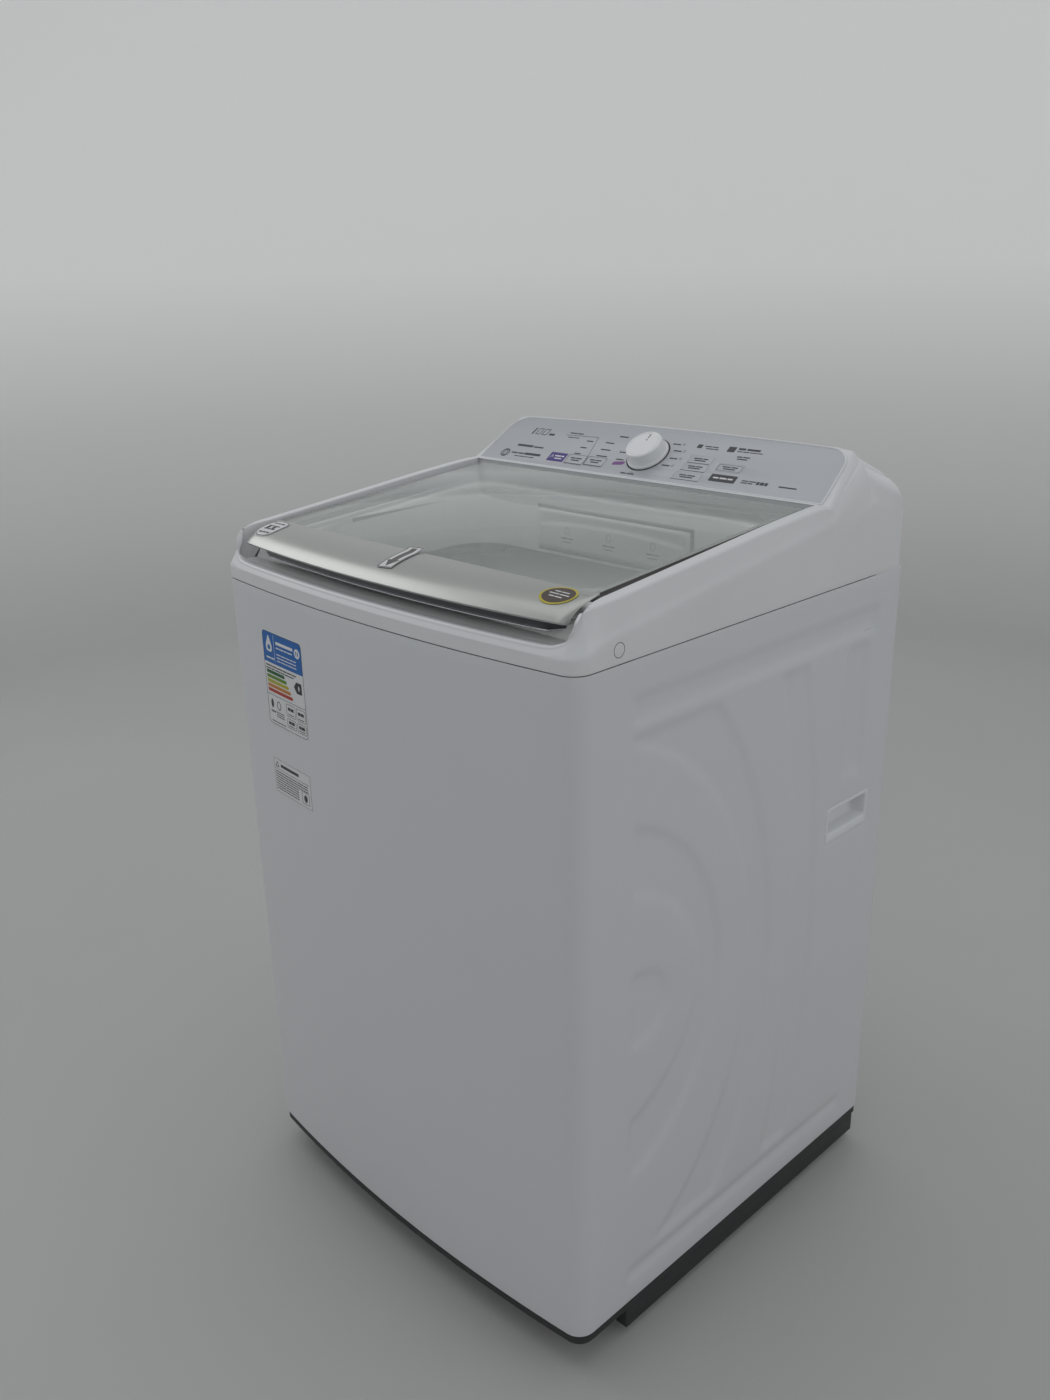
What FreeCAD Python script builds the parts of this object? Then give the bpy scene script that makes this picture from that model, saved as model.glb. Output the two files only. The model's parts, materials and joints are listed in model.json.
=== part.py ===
import FreeCAD, Part
import math
import operator
import os

import Sketcher

# A top load washing machine in millimetres. +Z is up, the front faces -Y and the origin is on the floor,
# under the middle of the machine. Each sub-part is one labelled object whose sizes follow the sheet.

DIMENSIONS = {
    # Steel cabinet
    "cabinet_width": 640, "cabinet_depth": 641, "front_bow": 21, "cabinet_base": 55, "cabinet_top": 904,
    "corner_radius": 25, "steel_gauge": 1.4, "rear_return": 24, "part_gap": 0.3,
    "handle_rear": 182, "handle_length": 92, "handle_base": 555, "handle_height": 41, "handle_depth": 30,
    # Plastic base and feet
    "base_lip": 2.5, "base_depth": 13.8, "base_member": 82, "rail_height": 29, "rail_width": 18,
    "rail_front": -214, "rail_rear": 313, "foot_inset_side": 252, "foot_inset_end": 235, "foot_radius": 20,
    "foot_pad": 12, "stud_radius": 5,
    # Moulded top cover and its well
    "overall_height": 1067, "rim_inside": 298, "well_half": 262, "well_front": -236, "well_rear": 110,
    "well_corner": 106, "ledge_front": 952, "ledge_rear": 983, "tray_level": 926, "ridge_level": 930,
    "cover_wall": 4, "bay_floor": 966, "cover_screw_level": 973, "screw_radius": 2,
    # Console fascia, dial and keys
    "fascia_foot": 145.1, "fascia_level": 1007.7, "fascia_slope": 34.5, "fascia_length": 100,
    "fascia_half": 302, "fascia_thick": 3, "fascia_corner": 22, "dial_station": 47.6, "dial_radius": 26.5,
    "dial_base_radius": 30.3, "dial_height": 20.2, "dial_shaft": 3, "key_gap": 0.3,
    # Glass lid
    "lid_half": 285, "lid_glass_rear": 136.8, "lid_glass_front": -231, "lid_rear_level": 1003.2,
    "lid_front_level": 972, "lid_front_edge": -303, "glass_thick": 4, "pivot_rear": 131, "pivot_level": 995,
    "pivot_radius": 3.5,
    # Detergent drawer
    "drawer_half": 138, "drawer_base": 902, "drawer_height": 56, "drawer_front": 106, "drawer_depth": 180,
    # Outer tub
    "tub_radius": 286, "tub_wall": 3, "tub_base": 262, "tub_top": 866, "tub_ring_inside": 236,
    "hub_radius": 34, "lug_reach": 388,
    # Wash basket and agitator
    "basket_radius": 266, "basket_wall": 0.9, "basket_base": 298, "basket_top": 846, "balance_inside": 224,
    "spin_tube_radius": 20, "shaft_radius": 9, "running_gap": 0.06,
    "agitator_skirt": 150, "agitator_neck": 46, "agitator_top": 640,
    # Drive under the tub
    "gearcase_radius": 70, "motor_offset": 165, "motor_radius": 62, "belt_level": 157, "belt_width": 10,
    "belt_thick": 3, "drive_pulley_radius": 95, "motor_pulley_radius": 30,
    # Suspension
    "rod_station": 262, "rod_radius": 3, "rod_top": 838, "cup_level": 205, "lug_level": 300, "spring_radius": 17,
    # Pump and water paths
    "pump_station": 140, "pump_level": 100, "pump_radius": 38, "drain_bore": 11, "drain_outside": 14,
    "inlet_radius": 13.2, "inlet_bore": 8, "inlet_side": -200, "inlet_level": 938,
    "gland_side": 240, "gland_level": 840, "gland_radius": 9, "gland_bore": 4,
}

SIGNS = {"+": operator.add, "-": operator.sub, "*": operator.mul, "/": operator.truediv}


class Size:
    """A dimension with its value and the sheet expression that gives it."""

    def __init__(self, value, text=None):
        self.value = float(value)
        self.text = text if text else f"{value:.6g}"

    def joined(self, sign, other, swapped=False):
        other = as_size(other)
        left, right = (other, self) if swapped else (self, other)
        return Size(SIGNS[sign](left.value, right.value), f"({left.text} {sign} {right.text})")

    def __add__(self, other):
        return self.joined("+", other)

    def __radd__(self, other):
        return self.joined("+", other, True)

    def __sub__(self, other):
        return self.joined("-", other)

    def __rsub__(self, other):
        return self.joined("-", other, True)

    def __mul__(self, other):
        return self.joined("*", other)

    def __rmul__(self, other):
        return self.joined("*", other, True)

    def __truediv__(self, other):
        return self.joined("/", other)

    def __neg__(self):
        return Size(0, "0") - self


def as_size(number):
    return number if isinstance(number, Size) else Size(number)


class Sheet:
    """The driving dimensions, read as attributes."""

    def __init__(self, document):
        self.table = document.addObject("Spreadsheet::Sheet", "Dimensions")
        for row, (alias, value) in enumerate(DIMENSIONS.items(), start=1):
            self.table.set(f"A{row}", alias.replace("_", " "))
            self.table.set(f"B{row}", str(value))
            self.table.setAlias(f"B{row}", alias)
        document.recompute()

    def __getattr__(self, alias):
        return Size(DIMENSIONS[alias], f"Dimensions.{alias}")


doc = FreeCAD.newDocument("TopLoadWasher")
d = Sheet(doc)
finished = []

UP = FreeCAD.Rotation()
ALONG_X = FreeCAD.Rotation(FreeCAD.Vector(0, 1, 0), 90)
ALONG_Y = FreeCAD.Rotation(FreeCAD.Vector(1, 0, 0), -90)
MIDDLE = (0, 0, 0)


# ---- Building helpers ----

def bind(obj, path, size):
    obj.setExpression(path, as_size(size).text)


def place(obj, position, turn=UP):
    obj.Placement = FreeCAD.Placement(FreeCAD.Vector(*[as_size(p).value for p in position]), turn)
    for axis, part in zip("xyz", position):
        bind(obj, f"Placement.Base.{axis}", part)
    return obj


def spare_name(stem):
    names = {obj.Name for obj in doc.Objects}
    number = 1
    while f"{stem}_{number}" in names:
        number += 1
    return f"{stem}_{number}"


def box(low, sides):
    solid = doc.addObject("Part::Box", spare_name("block"))
    for path, side in zip(("Length", "Width", "Height"), sides):
        bind(solid, path, side)
    return place(solid, low)


def slab(low, high):
    """A box between two opposite corners."""
    return box(low, [as_size(top) - bottom for bottom, top in zip(low, high)])


def rod(foot, radius, length, turn=UP):
    solid = doc.addObject("Part::Cylinder", spare_name("round"))
    bind(solid, "Radius", radius)
    bind(solid, "Height", length)
    return place(solid, foot, turn)


def taper(foot, radius_low, radius_high, length, turn=UP):
    solid = doc.addObject("Part::Cone", spare_name("taper"))
    bind(solid, "Radius1", radius_low)
    bind(solid, "Radius2", radius_high)
    bind(solid, "Height", length)
    return place(solid, foot, turn)


def tube(foot, outside, inside, length, turn=UP):
    return cut(rod(foot, outside, length, turn), rod(foot, inside, length, turn))


def cut(base, *tools):
    for tool in tools:
        result = doc.addObject("Part::Cut", spare_name("cut"))
        result.Base = base
        result.Tool = tool
        base = result
    return base


def common(base, tool):
    result = doc.addObject("Part::Common", spare_name("overlap"))
    result.Base = base
    result.Tool = tool
    return result


def fuse(*solids):
    result = doc.addObject("Part::MultiFuse", spare_name("join"))
    result.Shapes = list(solids)
    return result


def group(*solids):
    """Separate solids that share one node."""
    result = doc.addObject("Part::Compound", spare_name("group"))
    result.Links = list(solids)
    return result


def finish(name, solid):
    solid.Label = name
    finished.append(solid)
    return solid


def new_body(position=MIDDLE, turn=UP):
    return place(doc.addObject("PartDesign::Body", spare_name("body")), position, turn)


def sketch_on(body, role, height=0):
    plane = next(plane for plane in body.Origin.OriginFeatures if plane.Role == role)
    sketch = body.newObject("Sketcher::SketchObject", spare_name("outline"))
    sketch.AttachmentSupport = [(plane, "")]
    sketch.MapMode = "FlatFace"
    bind(sketch, "AttachmentOffset.Base.z", height)
    return sketch


def fix_point(sketch, edge, end, point):
    for kind, size in zip(("DistanceX", "DistanceY"), point):
        number = sketch.addConstraint(Sketcher.Constraint(kind, -1, 1, edge, end, as_size(size).value))
        bind(sketch, f"Constraints[{number}]", size)


def draw_outline(sketch, points):
    """A closed outline of straight edges with every corner tied to the sheet."""
    corners = [FreeCAD.Vector(as_size(u).value, as_size(v).value, 0) for u, v in points]
    first = sketch.GeometryCount
    count = len(corners)
    for number in range(count):
        sketch.addGeometry(Part.LineSegment(corners[number], corners[(number + 1) % count]), False)
    for number in range(count):
        after = first + (number + 1) % count
        sketch.addConstraint(Sketcher.Constraint("Coincident", first + number, 2, after, 1))
        fix_point(sketch, first + number, 1, points[number])


def draw_bowed_plan(sketch, half, side_front, rear, bow):
    """A plan outline with straight sides and back and a front that bows forward by an arc."""
    radius = (half * half + bow * bow) / (2 * bow)
    corners = [(half, side_front), (half, rear), (-half, rear), (-half, side_front)]
    spots = [FreeCAD.Vector(as_size(u).value, as_size(v).value, 0) for u, v in corners]
    for start, end in zip(spots, spots[1:]):
        sketch.addGeometry(Part.LineSegment(start, end), False)
    centre = FreeCAD.Vector(0, side_front.value - bow.value + radius.value, 0)
    spread = math.asin(half.value / radius.value)
    circle = Part.Circle(centre, FreeCAD.Vector(0, 0, 1), radius.value)
    down = -math.pi / 2
    sketch.addGeometry(Part.ArcOfCircle(circle, down - spread, down + spread), False)
    for number in range(2):
        sketch.addConstraint(Sketcher.Constraint("Coincident", number, 2, number + 1, 1))
    sketch.addConstraint(Sketcher.Constraint("Coincident", 3, 1, 2, 2))
    sketch.addConstraint(Sketcher.Constraint("Coincident", 3, 2, 0, 1))
    for number in range(3):
        fix_point(sketch, number, 1, corners[number])
    fix_point(sketch, 2, 2, corners[3])
    number = sketch.addConstraint(Sketcher.Constraint("Radius", 3, radius.value))
    bind(sketch, f"Constraints[{number}]", radius)


def pad(body, sketch, length, both_ways=False, backwards=False):
    feature = body.newObject("PartDesign::Pad", spare_name("pad"))
    feature.Profile = sketch
    bind(feature, "Length", length)
    feature.SideType = "Symmetric" if both_ways else "One side"
    feature.Reversed = backwards
    return feature


def round_edges(body, radius, wanted):
    """Fillets the edges of the body's tip for which wanted(edge) is true."""
    doc.recompute()
    base = body.Tip
    names = [f"Edge{number}" for number, edge in enumerate(base.Shape.Edges, start=1) if wanted(edge)]
    if not names:
        raise ValueError(f"no edge to round on {body.Name}")
    feature = body.newObject("PartDesign::Fillet", spare_name("fillet"))
    feature.Base = (base, names)
    bind(feature, "Radius", radius)
    return feature


def is_upright(edge):
    first, last = edge.Vertexes[0].Point, edge.Vertexes[-1].Point
    return math.hypot(first.x - last.x, first.y - last.y) < 0.01 and abs(first.z - last.z) > 1


def turned(points, position=MIDDLE, turn=UP):
    """A body of revolution about its own Z axis, from (radius, height) points."""
    body = new_body(position, turn)
    sketch = sketch_on(body, "XZ_Plane")
    draw_outline(sketch, points)
    feature = body.newObject("PartDesign::Revolution", spare_name("turning"))
    feature.Profile = sketch
    feature.ReferenceAxis = (sketch, ["V_Axis"])
    feature.Angle = 360
    return body


def side_prism(points, width, middle=0):
    """A prism across the machine with a (depth, height) outline, centred on X = middle."""
    body = new_body((middle, 0, 0))
    sketch = sketch_on(body, "YZ_Plane")
    draw_outline(sketch, points)
    pad(body, sketch, width, both_ways=True)
    return body


def plan_prism(half, side_front, rear, bow, low, high, corner=None):
    """An upright prism with a bowed front; corner rounds its two front edges."""
    body = new_body()
    sketch = sketch_on(body, "XY_Plane", low)
    draw_bowed_plan(sketch, half, side_front, rear, bow)
    pad(body, sketch, as_size(high) - low)
    if corner:
        limit = side_front.value + 1
        round_edges(body, corner, lambda e: is_upright(e) and e.Vertexes[0].Point.y < limit)
    return body


def rectangle(half_u, low_v, high_v):
    return [(-half_u, low_v), (half_u, low_v), (half_u, high_v), (-half_u, high_v)]


def four_corners(x, y):
    return [(x, -y), (x, y), (-x, y), (-x, -y)]


# ---- Shared stations ----

half_width = d.cabinet_width / 2
rear_face = d.cabinet_depth / 2
front_face = -d.cabinet_depth / 2
side_front = front_face + d.front_bow
slope = math.radians(DIMENSIONS["fascia_slope"])
UP_SLOPE = (math.cos(slope), math.sin(slope))
OFF_SLOPE = (-math.sin(slope), math.cos(slope))
FASCIA_TURN = FreeCAD.Rotation(FreeCAD.Vector(1, 0, 0), DIMENSIONS["fascia_slope"])


def on_fascia(station, rise=0):
    """The (depth, height) of a point that lies station up the fascia and rise off its face."""
    return (d.fascia_foot + station * UP_SLOPE[0] + rise * OFF_SLOPE[0],
            d.fascia_level + station * UP_SLOPE[1] + rise * OFF_SLOPE[1])


def fascia_rod(side, station, rise, radius, length):
    depth, height = on_fascia(station, rise)
    return rod((side, depth, height), radius, length, FASCIA_TURN)


# ---- Steel cabinet, back and base ----

def make_cabinet():
    body = new_body()
    sketch = sketch_on(body, "XY_Plane", d.cabinet_base)
    draw_bowed_plan(sketch, half_width, side_front, rear_face, d.front_bow)
    pad(body, sketch, d.cabinet_top - d.cabinet_base)
    front_limit = side_front.value + 1
    round_edges(body, d.corner_radius, lambda e: is_upright(e) and e.Vertexes[0].Point.y < front_limit)
    inner = new_body()
    inner_sketch = sketch_on(inner, "XY_Plane", d.cabinet_base - 1)
    gauge = d.steel_gauge
    draw_bowed_plan(inner_sketch, half_width - gauge, side_front + gauge, rear_face + 5, d.front_bow)
    pad(inner, inner_sketch, d.cabinet_top - d.cabinet_base + 2)
    round_edges(inner, d.corner_radius - gauge,
                lambda e: is_upright(e) and e.Vertexes[0].Point.y < front_limit + gauge.value)
    returns = []
    for sign in (-1, 1):
        low_x = half_width - d.rear_return if sign > 0 else -half_width + gauge / 2
        high_x = half_width - gauge / 2 if sign > 0 else -half_width + d.rear_return
        returns.append(slab((low_x, rear_face - gauge, d.cabinet_base), (high_x, rear_face, d.cabinet_top)))
    handle_low = (-half_width - 1, d.handle_rear, d.handle_base)
    handle_high = (half_width + 1, d.handle_rear + d.handle_length, d.handle_base + d.handle_height)
    finish("cabinet", cut(fuse(cut(body, inner), *returns), slab(handle_low, handle_high)))


def make_back_panel():
    plate_rear = rear_face - d.steel_gauge - d.part_gap
    plate_front = plate_rear - d.steel_gauge
    side = half_width - 6
    plate = slab((-side, plate_front, d.cabinet_base + 4), (side, plate_rear, d.cabinet_top - 3))
    port = rod((d.pump_station, plate_front - 5, d.pump_level), d.drain_outside + 0.5, 12, ALONG_Y)
    cord_hole = rod((d.gland_side, plate_front - 5, d.gland_level), d.gland_radius - 2, 12, ALONG_Y)
    finish("back_panel", cut(plate, port, cord_hole))


def cover_screw_row(start, radius, length):
    """One rod at each place along the console's back cover where a screw holds it."""
    return [rod((x, start, d.cover_screw_level), radius, length, ALONG_Y) for x in (-280, -100, 60, 280)]


def make_rear_screws():
    plate_front = rear_face - d.steel_gauge * 2 - d.part_gap
    screws = cover_screw_row(rear_face - 11, d.screw_radius, 10.8)
    for height in (80, 270, 480, 690, 880):
        for side_sign in (-1, 1):
            place_x = side_sign * (half_width - 12)
            screws.append(rod((place_x, plate_front - 8, height), d.screw_radius, 8, ALONG_Y))
    finish("rear_screws", group(*screws))


def make_handle_cups():
    rim = 5
    for name, sign in (("left_handle_cup", -1), ("right_handle_cup", 1)):
        wall = 2
        outer_x = sign * (half_width - 0.3)
        inner_x = sign * (half_width - d.handle_depth)
        low_x, high_x = (outer_x, inner_x) if sign < 0 else (inner_x, outer_x)
        low_y = d.handle_rear + d.part_gap
        high_y = d.handle_rear + d.handle_length - d.part_gap
        low_z = d.handle_base + d.part_gap
        high_z = d.handle_base + d.handle_height - d.part_gap
        shell = slab((low_x, low_y, low_z), (high_x, high_y, high_z))
        flange_x = sign * (half_width - d.steel_gauge - 0.2)
        back_x = sign * (half_width - d.steel_gauge - 2.2)
        flange_low, flange_high = (flange_x, back_x) if sign < 0 else (back_x, flange_x)
        flange = slab((flange_low, low_y - rim, low_z - rim), (flange_high, high_y + rim, high_z + rim))
        hole_low = low_x - 5 if sign < 0 else low_x + wall
        hole_high = high_x - wall if sign < 0 else high_x + 5
        hole = slab((hole_low, low_y + wall, low_z + wall), (hole_high, high_y - wall, high_z - wall))
        finish(name, cut(fuse(shell, flange), hole))


def make_base():
    lip = d.base_lip
    top = d.cabinet_base - 0.2
    ring = plan_prism(half_width - lip, side_front + lip, rear_face - lip, d.front_bow,
                      top - d.base_depth, top, d.corner_radius - lip)
    opening = slab((-half_width + d.base_member, front_face + d.base_member + d.front_bow, 0),
                   (half_width - d.base_member, rear_face - d.base_member, 100))
    shelf = slab((-half_width + d.base_member - 2, 95, top - d.base_depth),
                 (half_width - d.base_member + 2, 185, top))
    studs = [rod((x, y, 0), d.stud_radius + 0.4, 100)
             for x, y in four_corners(d.foot_inset_side, d.foot_inset_end)]
    finish("base_frame", cut(fuse(cut(ring, opening), shelf), *studs))
    rails = []
    for sign in (-1, 1):
        outer = half_width - lip
        low_x = outer - d.rail_width if sign > 0 else -outer
        high_x = outer if sign > 0 else d.rail_width - outer
        rail_top = top - d.base_depth - 0.1
        rails.append(slab((low_x, d.rail_front, rail_top - d.rail_height), (high_x, d.rail_rear, rail_top)))
    clearance = [rod((x, y, 0), d.foot_radius + 1, 60)
                 for x, y in four_corners(d.foot_inset_side, d.foot_inset_end)]
    finish("side_rails", cut(group(*rails), *clearance))


def make_feet():
    names = ("foot_front_right", "foot_rear_right", "foot_rear_left", "foot_front_left")
    for name, (x, y) in zip(names, four_corners(d.foot_inset_side, d.foot_inset_end)):
        pad_solid = taper((x, y, 0), d.foot_radius, d.foot_radius - 5, d.foot_pad)
        hexagon = rod((x, y, d.foot_pad), 9, 6)
        stud = rod((x, y, d.foot_pad), d.stud_radius, d.cabinet_base + 14 - d.foot_pad)
        finish(name, fuse(pad_solid, hexagon, stud))
    nuts = []
    for x, y in four_corners(d.foot_inset_side, d.foot_inset_end):
        nuts.append(tube((x, y, d.cabinet_base), 8.5, d.stud_radius + 0.4, 6))
    finish("foot_lock_nuts", group(*nuts))


# ---- Moulded top: cover, console, well ----

KEYS = {
    # name: (middle across the panel, station up the panel, half length, half height)
    "key_fill_level": (-117, 21, 18, 10), "key_soak": (-80, 22, 18, 9.5), "key_rinse": (89, 50, 19, 6.5),
    "key_spin": (89, 35, 20, 6.5), "key_economy": (87, 17.5, 22, 6.5), "key_start": (142, 41, 20, 7),
}

def make_top_cover():
    shell = plan_prism(half_width, side_front, rear_face, d.front_bow, d.cabinet_top + 0.2,
                       d.overall_height, d.corner_radius)
    fascia_top = on_fascia(d.fascia_length)
    outline = [
        (front_face - 1, d.cabinet_top), (front_face - 1, 920), (front_face + 1, 922), (-314, d.ridge_level),
        (-304, 936), (-292, 954), (-272, 964), (-259, 970), (-226, 973), (-136, 982), (-31, 991),
        (83, 1005), (138, 1008), on_fascia(0), on_fascia(4, 2.5), on_fascia(d.fascia_length - 3, 2.5),
        (fascia_top[0] + 6, d.overall_height), (255, 1058), (301, 1030), (315, 1017), (rear_face, 1000),
        (rear_face + 1, d.cabinet_top)]
    whole = common(shell, side_prism(outline, d.cabinet_width + 10))
    recess = side_prism([
        (front_face - 5, d.ridge_level), (-312, d.ridge_level), (-300, d.tray_level), (-258, d.tray_level),
        (-246, d.ledge_front - 1), (d.lid_glass_front, d.ledge_front), (d.lid_glass_rear, d.ledge_rear),
        (143, d.ledge_rear + 0.5), (143, 1100), (front_face - 5, 1100)], d.rim_inside * 2)
    seat = side_prism([on_fascia(-2, -d.fascia_thick), on_fascia(d.fascia_length, -d.fascia_thick),
                       on_fascia(d.fascia_length, 20), on_fascia(-2, 20)], (d.fascia_half + 0.3) * 2)
    well = new_body()
    well_sketch = sketch_on(well, "XY_Plane", 850)
    draw_outline(well_sketch, rectangle(d.well_half, d.well_front, d.well_rear))
    pad(well, well_sketch, 200)
    round_edges(well, d.well_corner, is_upright)
    wall = d.cover_wall
    bay = side_prism([
        (d.fascia_foot + 4, d.bay_floor), on_fascia(3.5, -4.5), on_fascia(d.fascia_length - 5, -4.5),
        (235, 1062), (253, 1053), (298, 1026), (311, 1014), (rear_face - wall, 998),
        (rear_face + 5, 998), (rear_face + 5, d.bay_floor)], (half_width - 22) * 2)
    drawer_way = slab((-d.drawer_half - 3, d.well_rear - 20, d.drawer_base - 8),
                      (d.drawer_half + 3, d.drawer_front + d.drawer_depth + 15, d.bay_floor - wall))
    voids = []
    for sign in (-1, 1):
        inner_x = d.well_half + wall
        outer_x = half_width - wall
        low_x, high_x = (inner_x, outer_x) if sign > 0 else (-outer_x, -inner_x)
        middle_x = (low_x + high_x) / 2
        voids.append(side_prism([(-226, 900), (-226, d.ledge_front - wall), (100, d.ledge_rear - 8),
                                 (100, 900)], outer_x - inner_x, middle_x))
        low_x, high_x = (d.drawer_half + 8, outer_x) if sign > 0 else (-outer_x, -d.drawer_half - 8)
        voids.append(slab((low_x, d.well_rear + wall, 900), (high_x, rear_face - wall, d.bay_floor - wall)))
    voids.append(slab((-d.well_half, side_front + 12, 900), (d.well_half, -246, d.tray_level - wall)))
    plugs = [rod((sign * (half_width - 6) - (6 if sign < 0 else 0), -237, 920), 8.2, 12, ALONG_X)
             for sign in (-1, 1)]
    pins = rod((-d.rim_inside - 8, d.pivot_rear, d.pivot_level), d.pivot_radius + d.running_gap,
               (d.rim_inside + 8) * 2, ALONG_X)
    inlet_hole = rod((d.inlet_side, rear_face - 20, d.inlet_level), d.inlet_radius + 9, 40, ALONG_Y)
    windows = [key_block(side, station, half_u + 1, half_v + 1, -12, 12)
               for side, station, half_u, half_v in KEYS.values()]
    windows.append(fascia_rod(0, d.dial_station, -12, d.dial_shaft + 1, 12))
    finish("top_cover", cut(whole, recess, seat, well, bay, drawer_way, *voids, *plugs, pins, inlet_hole,
                            *windows))
    caps = []
    for sign in (-1, 1):
        foot_x = half_width - 6 if sign > 0 else -half_width + 0.2
        caps.append(rod((foot_x, -237, 920), 7.9, 5.8, ALONG_X))
    finish("cap_plugs", group(*caps))


def make_back_cover():
    rear = rear_face - 1
    plate = slab((-half_width + 24, rear - 2.4, d.bay_floor + 0.5), (half_width - 24, rear, 997.5))
    finish("console_back_cover", cut(plate, *cover_screw_row(rear_face - 11, d.screw_radius + 0.2, 15)))




def make_fascia():
    plate = new_body((0, d.fascia_foot, d.fascia_level), FASCIA_TURN)
    sketch = sketch_on(plate, "XY_Plane", -d.fascia_thick + 0.2)
    draw_outline(sketch, rectangle(d.fascia_half, 0.3, d.fascia_length - 0.3))
    pad(plate, sketch, d.fascia_thick - 0.2)
    middle = d.fascia_length.value / 2
    round_edges(plate, d.fascia_corner, lambda e: e.Length < 5 and e.CenterOfMass.y > middle)
    openings = [fascia_rod(0, d.dial_station, -10, d.dial_shaft + 3, 20)]
    for side, station, half_u, half_v in KEYS.values():
        openings.append(key_block(side, station, half_u + d.key_gap, half_v + d.key_gap, -10, 20))
    finish("console_fascia", cut(plate, *openings))


def key_block(side, station, half_u, half_v, rise, height):
    """A block square to the fascia, centred on a place on it."""
    foot = as_size(station) - half_v
    depth, level = on_fascia(foot, rise)
    block = box((side, 0, 0), (half_u * 2, half_v * 2, height))
    return place(block, (as_size(side) - half_u, depth, level), FASCIA_TURN)


def make_console_works():
    for name, (side, station, half_u, half_v) in KEYS.items():
        finish(name, key_block(side, station, as_size(half_u), as_size(half_v), -5, 5))
    dial = turned([(0, 0.4), (d.dial_base_radius, 0.4), (d.dial_base_radius, 3), (d.dial_radius + 1.5, 5),
                   (d.dial_radius, d.dial_height - 2), (d.dial_radius - 2, d.dial_height), (0, d.dial_height)],
                  (0, *on_fascia(d.dial_station)), FASCIA_TURN)
    shaft = fascia_rod(0, d.dial_station, -7.5, d.dial_shaft, 10)
    finish("program_dial", fuse(dial, shaft))
    socket_block = key_block(0, d.dial_station, as_size(14), as_size(14), -20, 11)
    finish("dial_encoder", cut(socket_block, fascia_rod(0, d.dial_station, -16, d.dial_shaft + 0.05, 10)))
    board = key_block(20, 36, as_size(150), as_size(24), -23.5, 1.6)
    finish("control_board", board)
    finish("pressure_switch", fuse(rod((200, 250, d.bay_floor + 0.2), 22, 14),
                                   rod((200, 250, d.bay_floor + 14), 4, 12)))
    side, level = d.inlet_side, d.inlet_level
    valve = fuse(slab((side - 25, 258, level - 16), (side + 25, 300, level + 18)),
                 rod((side, 296, level), d.inlet_radius, rear_face - 296.1, ALONG_Y))
    finish("inlet_valve", cut(valve, rod((side, 280, level), d.inlet_bore, 60, ALONG_Y)))
    finish("cord_gland", cord_gland())


def cord_gland():
    collar = rod((d.gland_side, rear_face - 14, d.gland_level), d.gland_radius - 2.3, 13.9, ALONG_Y)
    flange = rod((d.gland_side, rear_face - 9, d.gland_level), d.gland_radius + 2, 5.4, ALONG_Y)
    return cut(fuse(collar, flange), rod((d.gland_side, rear_face - 20, d.gland_level), d.gland_bore, 30, ALONG_Y))


# ---- Detergent drawer ----

def make_drawer():
    half = d.drawer_half
    low = d.drawer_base
    front = d.drawer_front
    face = slab((-half, front - 3, low), (half, front + 3, low + d.drawer_height))
    finish("drawer_front", face)
    tray_back = front + d.drawer_depth
    tray = slab((-half + 6, front + 3, low + 3), (half - 6, tray_back, low + 46))
    cells = [slab((x0, front + 7, low + 5.5), (x1, tray_back - 3, low + 60))
             for x0, x1 in ((-half + 8.5, -48), (-45, 45), (48, half - 8.5))]
    finish("drawer_tray", cut(tray, *cells))
    housing_half = half + 2.6
    housing = slab((-housing_half, front + 7, low - 4), (housing_half, tray_back + 12, d.bay_floor - 5))
    hollow = slab((-half - 0.6, front - 10, low - 1.6), (half + 0.6, tray_back + 4, d.bay_floor - 7))
    finish("drawer_housing", cut(housing, hollow))


# ---- Lid ----

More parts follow.
